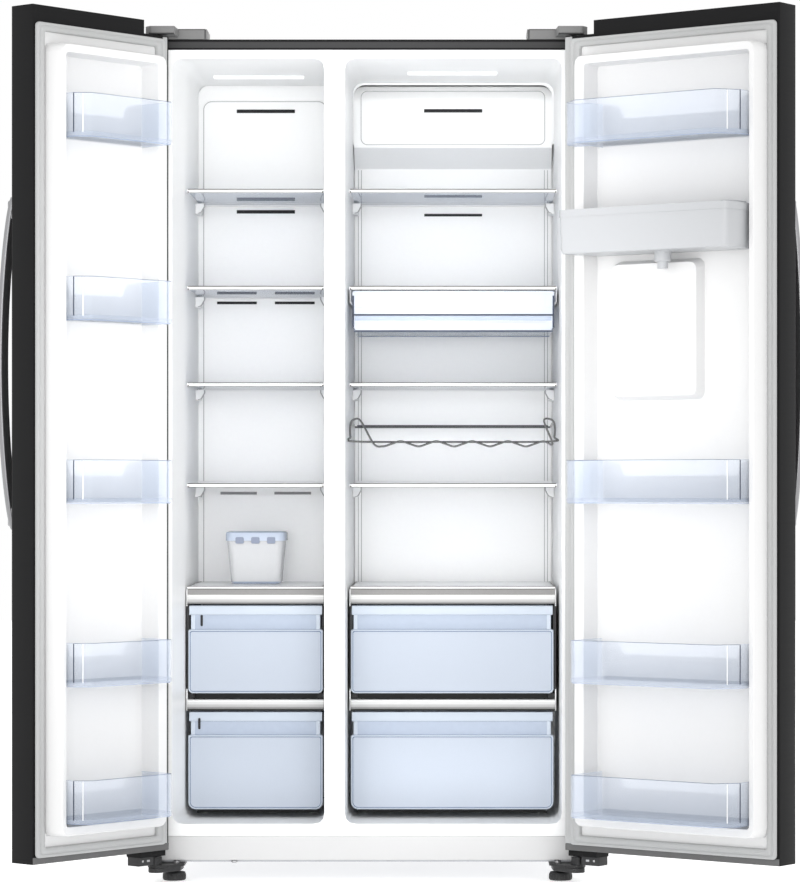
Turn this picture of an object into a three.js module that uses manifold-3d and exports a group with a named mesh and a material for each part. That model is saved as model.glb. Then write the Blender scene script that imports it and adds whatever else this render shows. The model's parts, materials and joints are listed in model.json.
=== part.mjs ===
// A side-by-side refrigerator with both doors standing open: freezer on the left, fridge on the right.
// Millimetres, +Z up, +Y into the cabinet. The doors' rest angles are the pose that the part is stored in.
import * as THREE from "three";
import { mergeVertices } from "three/addons/utils/BufferGeometryUtils.js";
import Module from "manifold-3d";

const wasm = await Module();
wasm.setup();

// ---------------------------------------------------------------- driving dimensions
const GAP = 0.3; // clearance between touching solids
const CABINET = { half: 455, depth: 567, top: 1758, seam: 95, skirt: 40 };
const SHEET = 1.2; // painted steel sheet
const LINER = 2.5; // wall of the inner liner
const ARC_STEPS = 3; // segments in a rounded corner
const BEYOND = 600; // a reach past every cabinet part, for cutting tools
const TRIM_BOTTOM = 1736.5; // lower edge of the dark trim above the compartments
const CAVITY = { bottom: 120.5, top: 1718.5, radius: 23 };
const STEP = { front: 390, top: 330 }; // the floor steps up over the machine compartment
const MACHINE = { front: 422, top: 296 };
const ROLLER = { radius: 17, y: 530, axle: 17 * Math.cos(Math.PI / 24) }; // a flat of the tread on the floor

const FREEZER = {
  mouth: [-406.7, -89.1], deep: [-390, -89.6], back: [-388, -91], backAt: 528,
  panel: [-386.5, -92.5], shelf: [-385.5, -94.5], cheek: [-387.3, -92.6], drawer: [-383, -97],
};
const FRIDGE = {
  mouth: [-46.3, 406.7], deep: [-45, 405.5], back: [-41.3, 401.7], backAt: 500,
  panel: [-40, 398], shelf: [-40.5, 400], cheek: [-40.6, 398.6], drawer: [-37.6, 393],
};
const FLARE = 100; // depth of the flare behind each mouth
const FOOT = { x: 405, y: 35 }; // both feet and both rollers stand this far from the middle
const FAN = [-238, 1000];
const SHELF_FRONT = 122;
const SHELF_BACK = 484;
const SHELF_TOPS = [1456, 1250, 1045, 831]; // from the top shelf down
const COVER_TOP = 613; // glass cover over the drawers
const UPPER_BAR = [574, 595];
const LOWER_BAR = [348, 372];
const DRAWERS = [
  { name: "upper", z: [385.4, 572], lip: 521, back: 478, corner: 8 },
  { name: "lower", z: [138.8, 346], lip: 297, back: 383, corner: 16 },
];
const DRAWER_FRONT = 125;
const DELI = { x: [-33, 393], floor: 1153, seam: 1187, rim: 1216, top: 1240, back: 375 };
const RACK = { x: [-37, 393], low: 921, high: 968, back: 956, front: 131, rear: 430, wire: 2.4 };
const WAVE = { z: 915, height: 5.5, first: 30, pitch: 76, troughs: 5 }; // the rack's front wire
const ICE_BOX = { x: -247, y: 300, half: [62, 58], rim: 102 };

const DOOR = { z: [71, 1786], outer: -39, inner: 25, hingeEdge: -15, pivotX: 439, pivotY: -37 };
const NOTCH = { reach: 57, floor: 1758 };
const LEFT_DOOR = { side: 1, width: 384, open: 130, dyke: [45, 340], recess: [70, 329] };
const RIGHT_DOOR = { side: -1, width: 520, open: 143, dyke: [45, 480], recess: [70, 468] };
const DYKE_TOP = 80;
const DYKE_Z = [128, 1708];
const RECESS_Z = [146, 1690];
const RECESS_FLOOR = 32;
const GASKET = { z: [84, 1751], inner: [105, 1732], v: [27.7, 36], margin: 4 };
const BIN_HEIGHT = 88;
const BIN_BOTTOMS = [1520, 1155, 790, 425, 152]; // from the top bin down
const TANK = { u: [55, 460], v: [33.3, 150], z: [1297, 1377], shoulder: [74, 82] };
const NICHE = { u: [130, 320], z: [1010, 1265], back: 16 };
const HANDLE = { z: [742, 1402], rise: 43, half: [12, 7], inset: 25 };

// ---------------------------------------------------------------- finishes
const finish = (color, roughness, metalness = 0, opacity = 1) =>
  new THREE.MeshStandardMaterial({ color, roughness, metalness, opacity, transparent: opacity < 1 });
const charcoal = finish(0x333436, 0.42, 0.55);
const white = finish(0xf3f4f4, 0.35);
const seal = finish(0xd9d9da, 0.7);
const clearBlue = finish(0xcdd9ec, 0.12, 0, 0.55);
const frosted = finish(0xcfdcf0, 0.35, 0, 0.75);
const glass = finish(0xe6eff0, 0.05, 0, 0.4);
const trimMetal = finish(0xc6c4c0, 0.3, 0.8);
const chrome = finish(0xd2d2d2, 0.12, 1);
const coverGrey = finish(0x6d6e70, 0.5, 0.1);
const black = finish(0x1b1b1c, 0.6);
const galvanised = finish(0xa9adb0, 0.45, 0.7);
const foam = finish(0xe9dfbf, 0.95);
const aluminium = finish(0xc9cdd1, 0.35, 0.9);
const lamp = finish(0xffffff, 0.3);
const lidBlue = finish(0xb9c9e2, 0.3);

// ---------------------------------------------------------------- solid helpers
function solid(geometry) {
  const bare = geometry.clone();
  bare.deleteAttribute("normal");
  bare.deleteAttribute("uv");
  const merged = mergeVertices(bare, 1e-4);
  const vertProperties = merged.attributes.position.array;
  const triVerts = new Uint32Array(merged.index.array);
  return new wasm.Manifold(new wasm.Mesh({ numProp: 3, vertProperties, triVerts }));
}

function geometryOf(body) {
  const mesh = body.getMesh();
  const geometry = new THREE.BufferGeometry();
  geometry.setAttribute("position", new THREE.BufferAttribute(mesh.vertProperties, 3));
  geometry.setIndex(new THREE.BufferAttribute(mesh.triVerts, 1));
  geometry.computeVertexNormals();
  return geometry;
}

const join = (...bodies) => bodies.reduce((whole, body) => whole.add(body));
const cut = (base, ...tools) => tools.reduce((left, tool) => left.subtract(tool), base);

function node(name, body, material) {
  const mesh = new THREE.Mesh(geometryOf(body), material);
  mesh.name = name;
  return mesh;
}

function box([x0, x1], [y0, y1], [z0, z1]) {
  const block = new THREE.BoxGeometry(Math.abs(x1 - x0), Math.abs(y1 - y0), Math.abs(z1 - z0));
  return solid(block.translate((x0 + x1) / 2, (y0 + y1) / 2, (z0 + z1) / 2));
}

// A closed outline through [a, b, corner radius] points.
function outline(points) {
  const shape = new THREE.Shape();
  points.forEach(([a, b, r = 0], i) => {
    const here = new THREE.Vector2(a, b);
    const before = new THREE.Vector2(...points.at(i - 1)).sub(here).normalize();
    const after = new THREE.Vector2(...points[(i + 1) % points.length]).sub(here).normalize();
    const reach = r / Math.tan(Math.acos(before.dot(after)) / 2);
    const start = here.clone().addScaledVector(before, reach);
    const end = here.clone().addScaledVector(after, reach);
    if (i) shape.lineTo(start.x, start.y);
    else shape.moveTo(start.x, start.y);
    if (r) shape.quadraticCurveTo(a, b, end.x, end.y);
  });
  shape.closePath();
  return shape;
}

const rectangle = ([a0, a1], [b0, b1], r) => outline([[a0, b0, r], [a1, b0, r], [a1, b1, r], [a0, b1, r]]);

function extrude(shape, depth) {
  return new THREE.ExtrudeGeometry(shape, { depth, bevelEnabled: false, curveSegments: ARC_STEPS });
}

// Prisms along Z (outline in X, Y), along Y (outline in X, Z) and along X (outline in Y, Z).
const prismZ = (shape, [z0, z1]) => solid(extrude(shape, z1 - z0).translate(0, 0, z0));
const prismY = (shape, [y0, y1]) => solid(extrude(shape, y1 - y0).rotateX(Math.PI / 2).translate(0, y1, 0));
function prismX(shape, [x0, x1]) {
  const turn = new THREE.Matrix4().makeBasis(
    new THREE.Vector3(0, 1, 0), new THREE.Vector3(0, 0, 1), new THREE.Vector3(1, 0, 0));
  return solid(extrude(shape, x1 - x0).applyMatrix4(turn).translate(x0, 0, 0));
}

// A closed solid through outlines with equal point counts: [[height, shape], ...], stacked along Z.
function loftZ(sections) {
  const rings = sections.map(([height, shape]) => ringOf(shape).map((p) => [p.x, p.y, height]));
  const count = rings[0].length;
  const faces = [];
  for (let k = 0; k + 1 < rings.length; k++)
    for (let i = 0; i < count; i++) {
      const a = k * count + i;
      const b = k * count + ((i + 1) % count);
      faces.push(a, b, b + count, a, b + count, a + count);
    }
  const last = (rings.length - 1) * count;
  const cap = (ring) => THREE.ShapeUtils.triangulateShape(ring.map(([x, y]) => new THREE.Vector2(x, y)), []);
  cap(rings[0]).forEach(([a, b, c]) => faces.push(a, c, b));
  cap(rings.at(-1)).forEach(([a, b, c]) => faces.push(last + a, last + b, last + c));
  const geometry = new THREE.BufferGeometry();
  geometry.setAttribute("position", new THREE.Float32BufferAttribute(rings.flat(2), 3));
  geometry.setIndex(faces);
  return geometry;
}

function ringOf(shape) {
  const points = shape.getPoints(ARC_STEPS);
  if (points[0].distanceTo(points.at(-1)) < 1e-6) points.pop();
  return THREE.ShapeUtils.isClockWise(points) ? points.reverse() : points;
}

// The same, stacked along Y from front to back, with outlines in X, Z.
function loftY(sections) {
  const stacked = [...sections].reverse().map(([y, shape]) => [-y, shape]);
  return solid(loftZ(stacked).rotateX(Math.PI / 2));
}

function cylinder(radius, [from, to], [a, b], axis = "z", sides = 24) {
  const round = new THREE.CylinderGeometry(radius, radius, to - from, sides).rotateY(Math.PI / sides);
  const middle = (from + to) / 2;
  if (axis === "y") return solid(round.translate(a, middle, b));
  if (axis === "x") return solid(round.rotateX(Math.PI / 2).rotateY(Math.PI / 2).translate(middle, a, b));
  return solid(round.rotateX(Math.PI / 2).translate(a, b, middle));
}

function wire(points, radius, closed = false) {
  const curve = new THREE.CatmullRomCurve3(points.map((p) => new THREE.Vector3(...p)), closed, "centripetal");
  const section = new THREE.Shape().absarc(0, 0, radius, 0, 2 * Math.PI);
  const steps = points.length * 2;
  return solid(new THREE.ExtrudeGeometry(section, { steps, extrudePath: curve, curveSegments: 5 }));
}

const grow = ([a, b], by) => [a - by, b + by];

// ---------------------------------------------------------------- cabinet
// The space inside a compartment, grown by `by` on every side but the mouth.
function cavity(room, by) {
  const height = grow([CAVITY.bottom, CAVITY.top], by);
  const at = (span, y) => [y, rectangle(grow(span, by), height, CAVITY.radius + by)];
  const space = loftY([
    at(room.mouth, -1), at(room.mouth, 6), at(room.deep, FLARE), at(room.back, room.backAt + by),
  ]);
  return cut(space, box([-BEYOND, BEYOND], [STEP.front + by, BEYOND], [0, STEP.top - by]));
}

function outerShell() {
  const { half, depth, top, skirt } = CABINET;
  const inner = half - SHEET;
  const wrap = outline([
    [-half, skirt], [-inner, skirt], [-inner, top - SHEET], [inner, top - SHEET],
    [inner, skirt], [half, skirt], [half, top, 3], [-half, top, 3],
  ]);
  const trim = box([-inner - 0.2, inner + 0.2], [0, 6], [TRIM_BOTTOM, top - SHEET + 0.1]);
  return join(prismY(wrap, [0, depth]), trim);
}

function innerLiner() {
  const width = CABINET.half - SHEET - GAP;
  const face = box([-width, width], [0, 3], [CABINET.seam, TRIM_BOTTOM - GAP]);
  const infront = box([-BEYOND, BEYOND], [-5, 0], [0, 1800]);
  const tubs = [FREEZER, FRIDGE].map((room) => cut(cavity(room, LINER), infront));
  const skin = cut(join(face, ...tubs), cavity(FREEZER, 0), cavity(FRIDGE, 0));
  return join(skin, ...[FREEZER, FRIDGE].flatMap(shelfLedges), ...[FREEZER, FRIDGE].flatMap(floorRunners));
}

// Ledges moulded into the side walls, one pair under each shelf.
function shelfLedges(room) {
  return SHELF_TOPS.flatMap((top) => room.back.map((x, end) => {
    const inward = end ? -10 : 10;
    return box([x - inward * 0.22, x + inward], [400, 470], [top - 30, top - 7.5 - GAP]);
  }));
}

// Runners on the floor, under the back half of the lower drawer, that carry it.
function floorRunners(room) {
  const height = [CAVITY.bottom - 1, DRAWERS[1].z[0] - GAP];
  const [left, right] = grow(room.drawer, -24);
  return [[left, left + 8], [right - 8, right]].map((x) => box(x, [236, 380], height));
}

function insulation() {
  const width = CABINET.half - SHEET - GAP;
  const height = [CABINET.seam + 2, CABINET.top - SHEET - GAP];
  const block = box([-width, width], [3 + GAP, CABINET.depth - 1.4], height);
  const trim = box([-500, 500], [0, 6 + GAP], [TRIM_BOTTOM - GAP, 1800]);
  const machine = box([-425, 425], [MACHINE.front, BEYOND], [0, MACHINE.top]);
  return cut(block, trim, machine, cavity(FREEZER, LINER + GAP), cavity(FRIDGE, LINER + GAP));
}

function backPanel() {
  const width = CABINET.half - SHEET - GAP;
  const height = [CABINET.skirt + 4, CABINET.top - SHEET - GAP];
  const sheet = box([-width, width], [CABINET.depth - 1, CABINET.depth], height);
  const slots = [];
  for (let x = -360; x <= 360; x += 45) slots.push(box([x - 3, x + 3], [560, 570], [110, 250]));
  return cut(sheet, ...slots);
}

function kickPanel() {
  const plate = box([-452, 452], [0.5, 4], [45, CABINET.seam - GAP]);
  const rib = box([-452, 452], [0.5, 12], [88, CABINET.seam - GAP]);
  return join(plate, rib);
}

function basePan() {
  const width = CABINET.half - SHEET - GAP;
  const floor = CABINET.skirt;
  const tray = cut(
    box([-width, width], [14, CABINET.depth - 1.4], [floor, CABINET.seam + 1.4]),
    box(grow([-width, width], -3), [17, MACHINE.front - 3], [floor + 3, 200]),
    box(grow([-width, width], -3), [MACHINE.front, BEYOND], [floor + 3, 200]),
  );
  const ear = (x) => box([x, x + 3], [518, 542], [8, floor + 1]);
  const ears = [-FOOT.x, FOOT.x].flatMap((x) => [ear(x - 15), ear(x + 12)]);
  const holes = cylinder(4.6, [-BEYOND, BEYOND], [ROLLER.y, ROLLER.axle], "x", 16);
  return cut(join(tray, ...ears), holes);
}

function roller(x) {
  const tyre = cylinder(ROLLER.radius, [x - 10.5, x + 10.5], [ROLLER.y, ROLLER.axle], "x", 24);
  const pin = cylinder(4, [x - 17, x + 17], [ROLLER.y, ROLLER.axle], "x", 16);
  return join(tyre, pin);
}

function frontFoot(x) {
  const profile = [[0, 0], [24, 0], [24, 15], [22, 18], [8, 19], [6, 22], [6, 39.5], [0, 39.5]];
  const body = new THREE.LatheGeometry(profile.map((p) => new THREE.Vector2(...p)), 24);
  return solid(body.rotateX(Math.PI / 2).translate(x, FOOT.y, 0));
}

// ---------------------------------------------------------------- hinges
function upperHinge(side) {
  const { pivotX, pivotY } = DOOR;
  const at = (x, y, r) => [side * x, y, r];
  const arm = outline([
    at(459, -44, 14), at(448, -60, 8), at(397, -60, 4), at(393, 1, 1), at(393, 20, 1), at(450, 20, 2),
  ]);
  const cover = outline([at(452, 1, 1), at(386, -2, 2), at(334, -2, 2), at(334, 95, 6), at(452, 95, 6)]);
  const pin = cylinder(5, [1736, 1764], [side * pivotX, pivotY], "z", 16);
  const plinth = [CABINET.top + GAP, 1779];
  return join(prismZ(arm, [1762, 1778.4]), prismZ(cover, plinth), pin);
}

function lowerHinge(side) {
  const { pivotX, pivotY } = DOOR;
  const at = (x, y, r) => [side * x, y, r];
  const plate = outline([
    at(455, -38, 12), at(440, -54, 12), at(412, -50, 8), at(380, -8, 6), at(380, 62, 4), at(452, 62, 4),
  ]);
  const boss = cylinder(14, [34, 56], [side * pivotX, pivotY]);
  const pin = cylinder(5, [50, 95], [side * pivotX, pivotY], "z", 16);
  const footHole = cylinder(6.8, [20, 50], [side * FOOT.x, FOOT.y], "z", 16);
  return cut(join(prismZ(plate, [34, 39.6]), boss, pin), footHole);
}

// ---------------------------------------------------------------- inside fittings
function shelf(room) {
  return (top) => {
    const [x0, x1] = room.shelf;
    const pane = box([x0, x1], [SHELF_FRONT, SHELF_BACK], [top - 5, top - 0.5]);
    const front = box([x0, x1], [SHELF_FRONT, SHELF_FRONT + 12], [top - 7.5, top]);
    const back = box([x0, x1], [SHELF_BACK - 10, SHELF_BACK], [top - 7.5, top + 6]);
    return join(pane, front, back);
  };
}

// Rails under the second fridge shelf that the deli drawer hangs from.
function deliRails(top) {
  const [x0, x1] = FRIDGE.shelf;
  const rail = ([a, b], lip) => join(
    box([a, b], [140, 380], [top - 34, top - 4]),
    box(lip, [140, 380], [top - 36, top - 33]),
  );
  return [rail([x0, x0 + 2], [x0, x0 + 5]), rail([x1 - 2, x1], [x1 - 5, x1])];
}

function drawerFrame(room) {
  const [x0, x1] = room.cheek;
  const inner = [x0 + 2.2, x1 - 2.2];
  const bar = (z) => box(grow(inner, 0.1), [SHELF_FRONT, SHELF_FRONT + 22], z);
  const cheeks = [box([x0, inner[0]], [150, 478], [LOWER_BAR[0], COVER_TOP - 1]),
    box([inner[1], x1], [150, 478], [LOWER_BAR[0], COVER_TOP - 1])];
  const ends = [box([x0, inner[0] + 0.2], [SHELF_FRONT + 6, 151], [LOWER_BAR[0], COVER_TOP - 1]),
    box([inner[1] - 0.2, x1], [SHELF_FRONT + 6, 151], [LOWER_BAR[0], COVER_TOP - 1])];
  const runners = [box([inner[0] - 0.1, inner[0] + 14], [140, 478], [LOWER_BAR[1] - 4, LOWER_BAR[1] + 13]),
    box([inner[1] - 14, inner[1] + 0.1], [140, 478], [LOWER_BAR[1] - 4, LOWER_BAR[1] + 13])];
  const pane = box(grow(inner, 0.1), [SHELF_FRONT, SHELF_BACK], [COVER_TOP - 6, COVER_TOP]);
  const web = box(grow(inner, 0.1), [SHELF_FRONT + 10, SHELF_FRONT + 14], [UPPER_BAR[0] + 2, COVER_TOP - 3]);
  return join(pane, web, bar(UPPER_BAR), bar(LOWER_BAR), ...cheeks, ...ends, ...runners);
}

function drawer(room, { z, lip, back, corner }) {
  const [x0, x1] = grow(room.drawer, -3);
  const [bottom, top] = z;
  const front = DRAWER_FRONT + 3;
  const wall = 3;
  const tub = box([x0, x1], [front, back], [bottom, top]);
  const hollow = box(grow([x0, x1], -wall), grow([front, back], -wall), [bottom + wall, top + 1]);
  const panel = prismY(rectangle(room.drawer, [bottom, lip], corner), [DRAWER_FRONT, front + 3]);
  const rim = cut(
    box(room.drawer, [front, front + 10], [top - 8, top]),
    box([x0 + 3, x1 - 3], [front + 2.5, 200], [top - 30, top + 5]),
  );
  return join(cut(tub, hollow), panel, rim);
}

function deliDrawer() {
  const { x, floor, seam, rim, top, back } = DELI;
  const wall = 2.5;
  const tub = box(x, [DRAWER_FRONT, back], [floor, rim]);
  const hollow = box(grow(x, -wall), grow([DRAWER_FRONT, back], -wall), [floor + 3, top + 10]);
  const front = box(grow(x, 1.5), [DRAWER_FRONT - 2, DRAWER_FRONT + 3], [seam, top]);
  const flange = cut(
    box(grow(x, 3.6), [DRAWER_FRONT + 3, back], [rim + 1.5, rim + 4]),
    box(grow(x, 0.1 - wall), [DRAWER_FRONT - 5, back - 3], [rim - 16, top + 20]),
  );
  const collar = cut(
    box(x, [DRAWER_FRONT, back], [rim - 1, rim + 3]),
    box(grow(x, -wall), [DRAWER_FRONT + wall, back - wall], [rim - 16, top + 20]),
  );
  return join(cut(tub, hollow), front, flange, collar);
}

function wineRack() {
  const { low, high, back, front, rear } = RACK;
  const [left, right] = RACK.x;
  const middle = (left + right) / 2;
  const wave = [];
  for (let i = 0; i <= WAVE.troughs * 4; i++) {
    const x = WAVE.first + ((i - 1) * WAVE.pitch) / 4;
    wave.push([x, front, WAVE.z - WAVE.height * Math.sin((Math.PI / 2) * i)]);
  }
  const loop = [
    [left + 22, front, high - 4], [left + 8, front, high], [left, front, high - 10],
    [left, front, low + 10], [left + 10, front + 3, low], [middle, front + 6, low - 1],
    [right - 10, front + 3, low], [right, front, low + 10],
    [right, front, high - 10], [right - 8, front, high], [right - 22, front, high - 4],
  ];
  const around = wire([...loop, ...wave.reverse()], RACK.wire, true);
  const across = wire([[left, rear, back], [middle, rear, back], [right, rear, back]], RACK.wire);
  const side = (x) => wire([[x, front - 1, high - 12], [x, 280, high - 6], [x, rear + 1, back]], RACK.wire);
  return join(around, across, side(left), side(right));
}

function iceBox() {
  const [width, depth] = ICE_BOX.half;
  const at = (inset) => rectangle(
    grow([ICE_BOX.x, ICE_BOX.x], width - inset), grow([ICE_BOX.y, ICE_BOX.y], depth - inset), 14);
  const base = COVER_TOP + GAP;
  const wall = 2.5;
  const top = base + ICE_BOX.rim;
  const tub = solid(loftZ([[base, at(10)], [base + 8, at(6)], [top, at(0)]]));
  const hollow = solid(loftZ([[base + wall, at(10)], [base + 9, at(6 + wall)], [top + 1, at(wall)]]));
  return cut(tub, hollow);
}

function iceBoxLid() {
  const z = COVER_TOP + ICE_BOX.rim + 2 * GAP;
  const [width, depth] = ICE_BOX.half;
  const at = (by, r) => rectangle(
    grow([ICE_BOX.x, ICE_BOX.x], width + by), grow([ICE_BOX.y, ICE_BOX.y], depth + by), r);
  const lip = cut(prismZ(at(2.5, 16), [z - 8, z + 1]), prismZ(at(0.5, 13), [z - 9, z]));
  return join(prismZ(at(2.5, 16), [z, z + 11]), lip);
}

// ---------------------------------------------------------------- air system, lamps and cooling circuit
function freezerAirDuct() {
  const [x0, x1] = FREEZER.panel;
  const plate = prismY(rectangle([x0, x1], [STEP.top + 4, 1714], 24), [487, 490]);
  const raised = prismY(rectangle([x0 + 8.5, x1 - 6], [STEP.top + 6, 1685], 20), [485.2, 487.5]);
  const skirt = box([x0 + 26, x1 - 26], [489, 526], [1708, 1711]);
  const motor = cylinder(16, [489, 500], FAN, "y", 20);
  const slot = (x, z, h) => box(x, [480, 495], [z, z + h]);
  const slots = [
    slot([-303, -173], 1657, 8), slot([-303, -173], 1433, 8),
    slot([-347, -258], 1231, 6), slot([-218, -129], 1231, 6),
    slot([-339, -258], 807, 6), slot([-219, -137], 807, 6),
  ];
  return cut(join(plate, raised, skirt, motor), ...slots);
}

function fridgeAirDuct() {
  const [x0, x1] = FRIDGE.panel;
  const side = outline([
    [499, STEP.top + 4], [499, 1713], [455, 1713, 8], [430, 1680, 20],
    [430, 1574, 4], [491, 1533, 4], [491, STEP.top + 4],
  ]);
  const hollow = outline([
    [500, STEP.top + 2], [500, 1720], [495, 1709], [458, 1709, 6], [433, 1678, 18],
    [433, 1576, 3], [494, 1536, 3], [494, STEP.top + 2],
  ]);
  const body = cut(prismX(side, [x0, x1]), prismX(hollow, [x0 + 3, x1 - 3]));
  const front = prismY(rectangle([x0, x1], [STEP.top + 4, 1713], 24), [400, 520]);
  const slot = (z, h, y) => box([115, 244], [y - 5, y + 5], [z, z + h]);
  return cut(body.intersect(front), slot(1652, 8, 431), slot(1427, 6, 492));
}

function ceilingLamp([x0, x1], [y0, y1]) {
  const top = CAVITY.top - GAP;
  const lens = outline([[y0, top], [y0 + 3, top - 5, 3], [y1 - 3, top - 5, 3], [y1, top]]);
  return prismX(lens, [x0, x1]);
}

// A finned block: a flat core with plates across it and a tube stub at each end.
function finnedCoil(x, core, plates, count, stubs) {
  const spacing = (x[1] - x[0] - 20) / (count - 1);
  const fins = Array.from({ length: count }, (_, i) => {
    const middle = x[0] + 10 + i * spacing;
    return box([middle - 0.8, middle + 0.8], ...plates);
  });
  return join(box(x, ...core), ...fins, ...stubs.map(([y, z]) => cylinder(4, grow(x, 8), [y, z], "x", 8)));
}

function evaporator() {
  const stubs = [[510, 450], [510, 650]];
  return finnedCoil([-372, -108], [[505, 515], [425, 675]], [[497, 523], [415, 685]], 12, stubs);
}

function evaporatorFan() {
  const [x, z] = FAN;
  const hub = cylinder(17, [501, 520], [x, z], "y", 20);
  const blades = [];
  for (let i = 0; i < 5; i++) {
    const blade = new THREE.BoxGeometry(34, 2.4, 26).rotateX(0.5).translate(31, 0, 0);
    blades.push(solid(blade.rotateY((i * 2 * Math.PI) / 5).translate(x, 510.5, z)));
  }
  return join(hub, ...blades);
}

function compressor() {
  const floor = CABINET.skirt + 3 + GAP;
  const profile = [[0, 8], [48, 8], [60, 24], [63, 60], [62, 95], [63, 100], [58, 140], [40, 168], [0, 178]];
  const pot = new THREE.LatheGeometry(profile.map((p) => new THREE.Vector2(...p)), 20);
  const [x, y] = [[-280, -280], [495, 495]];
  const stand = box(grow(x, 70), grow(y, 50), [floor, floor + 4]);
  const cradle = box(grow(x, 63), grow(y, 46), [floor + 12, floor + 16]);
  const leg = (legX, legY) => cylinder(7, [floor + 3, floor + 16], [legX, legY], "z", 10);
  const legs = grow(x, 58).flatMap((legX) => grow(y, 40).map((legY) => leg(legX, legY)));
  const body = solid(pot.rotateX(Math.PI / 2).translate(x[0], y[0], floor + 4));
  return join(body, stand, ...legs, cradle);
}

function condenser() {
  const floor = CABINET.skirt + 3 + GAP;
  const core = [[480, 520], [floor + 8, floor + 176]];
  const plates = [[448, 552], [floor, floor + 184]];
  return finnedCoil([45, 330], core, plates, 10, [[500, floor + 30], [500, floor + 150]]);
}

// ---------------------------------------------------------------- doors
// Each door is drawn in its own frame: u runs along the door from the pivot, v from the pivot
// towards the food side, and a local X of side * u makes the right door the mirror of the left.
function doorKit(door) {
  const { side, width } = door;
  const span = ([a, b]) => (side > 0 ? [a, b] : [-b, -a]);
  const drawn = (points) => outline(points.map(([u, v, r]) => [side * u, v, r]));
  return {
    end: width + DOOR.hingeEdge,
    block: (u, v, z) => box(span(u), v, z),
    slab: (points, z) => prismZ(drawn(points), z),
    face: (u, z, r, v) => prismY(rectangle(span(u), z, r), v),
    loft: (sections) => solid(loftZ(sections.map(([z, points]) => [z, drawn(points)]))),
    taper: (sections) => loftY(sections.map(([v, u, z, r]) => [v, rectangle(span(u), z, r)])),
    post: (radius, z, u, v, sides) => cylinder(radius, z, [side * u, v], "z", sides),
  };
}

function doorPanel(door) {
  const kit = doorKit(door);
  const { outer, inner, hingeEdge } = DOOR;
  const [z0, z1] = DOOR.z;
  const t = SHEET;
  const skin = (by) => [
    [hingeEdge + by, outer + by, 12 - by], [kit.end - by, outer + by, 6 - by],
    [kit.end - by, inner - by, 3 - by], [hingeEdge + by, inner - by, 3 - by],
  ];
  const corner = (by) => kit.block([-50, NOTCH.reach + by], [-60, 60], [NOTCH.floor - by, 1900]);
  const shell = cut(kit.slab(skin(0), DOOR.z), corner(0));
  const inside = cut(kit.slab(skin(t), [z0 + t, z1 - t]), corner(t));
  const window = kit.block([8, kit.end - 22], [inner - 5, inner + 5], [92, 1742]);
  const bushes = [kit.post(11, [1731, 1757], 0, 0, 20), kit.post(11, [z0 + 0.5, 100], 0, 0, 20)];
  const closer = kit.block([-10, 62], [-22, 20], [59, z0 + 0.5]);
  const bores = [kit.post(5.7, [1734, 1800], 0, 0, 20), kit.post(5.7, [0, 97], 0, 0, 20)];
  return cut(join(cut(shell, inside, window), ...bushes, closer), ...bores);
}

function withNiche(panel, door) {
  const kit = doorKit(door);
  const { u, z, back } = NICHE;
  const casing = kit.block(grow(u, 2), [DOOR.outer, back + 2], grow(z, 2));
  const room = kit.block(u, [DOOR.outer - 1, back], z);
  const spout = kit.post(9, [z[1] - 18, z[1] + 1], 225, -14, 16);
  const tray = kit.block([u[0] - 0.5, u[1] + 0.5], [DOOR.outer, back + 0.5], [z[0] - 0.5, z[0] + 6]);
  const well = kit.block([u[0] + 8, u[1] - 8], [DOOR.outer + 6, back - 6], [z[0] + 3, z[0] + 20]);
  return join(cut(panel.add(casing), room), spout, cut(tray, well));
}

function doorLiner(door, bulge) {
  const kit = doorKit(door);
  const { dyke, recess } = door;
  const base = kit.face([3, kit.end - 8], [87, 1748], 4, [DOOR.inner + GAP, GASKET.v[0] - GAP]);
  const raised = kit.taper([
    [DOOR.inner + GAP, grow(dyke, 3), grow(DYKE_Z, 3), 22],
    [DYKE_TOP - 5, grow(dyke, 0.5), grow(DYKE_Z, 0.5), 20],
    [DYKE_TOP, grow(dyke, -2), grow(DYKE_Z, -2), 18],
  ]);
  const hollow = kit.taper([
    [RECESS_FLOOR, grow(recess, -1.5), grow(RECESS_Z, -1.5), 8],
    [DYKE_TOP + 1, recess, RECESS_Z, 8],
  ]);
  const tray = cut(join(base, raised), hollow);
  if (!bulge) return tray;
  const { u, z, back } = NICHE;
  const pocket = kit.block(grow(u, 2.6), [0, back + 3], grow(z, 2.6));
  const cap = kit.taper([
    [RECESS_FLOOR - 1, [116, 334], [1000, 1285], 18], [56, [122, 328], [1008, 1277], 16],
  ]);
  return cut(join(tray, cap), pocket);
}

function doorGasket(door) {
  const kit = doorKit(door);
  const [v0, v1] = GASKET.v;
  const end = kit.end - GASKET.margin;
  const outside = kit.taper([
    [v0, [3, end], GASKET.z, 5], [v1 - 3, [3, end], GASKET.z, 5], [v1, [6, end - 3], grow(GASKET.z, -3), 5],
  ]);
  return cut(outside, kit.face([30, door.dyke[1] + 3.5], GASKET.inner, 12, [v0 - 1, v1 + 1]));
}

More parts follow.
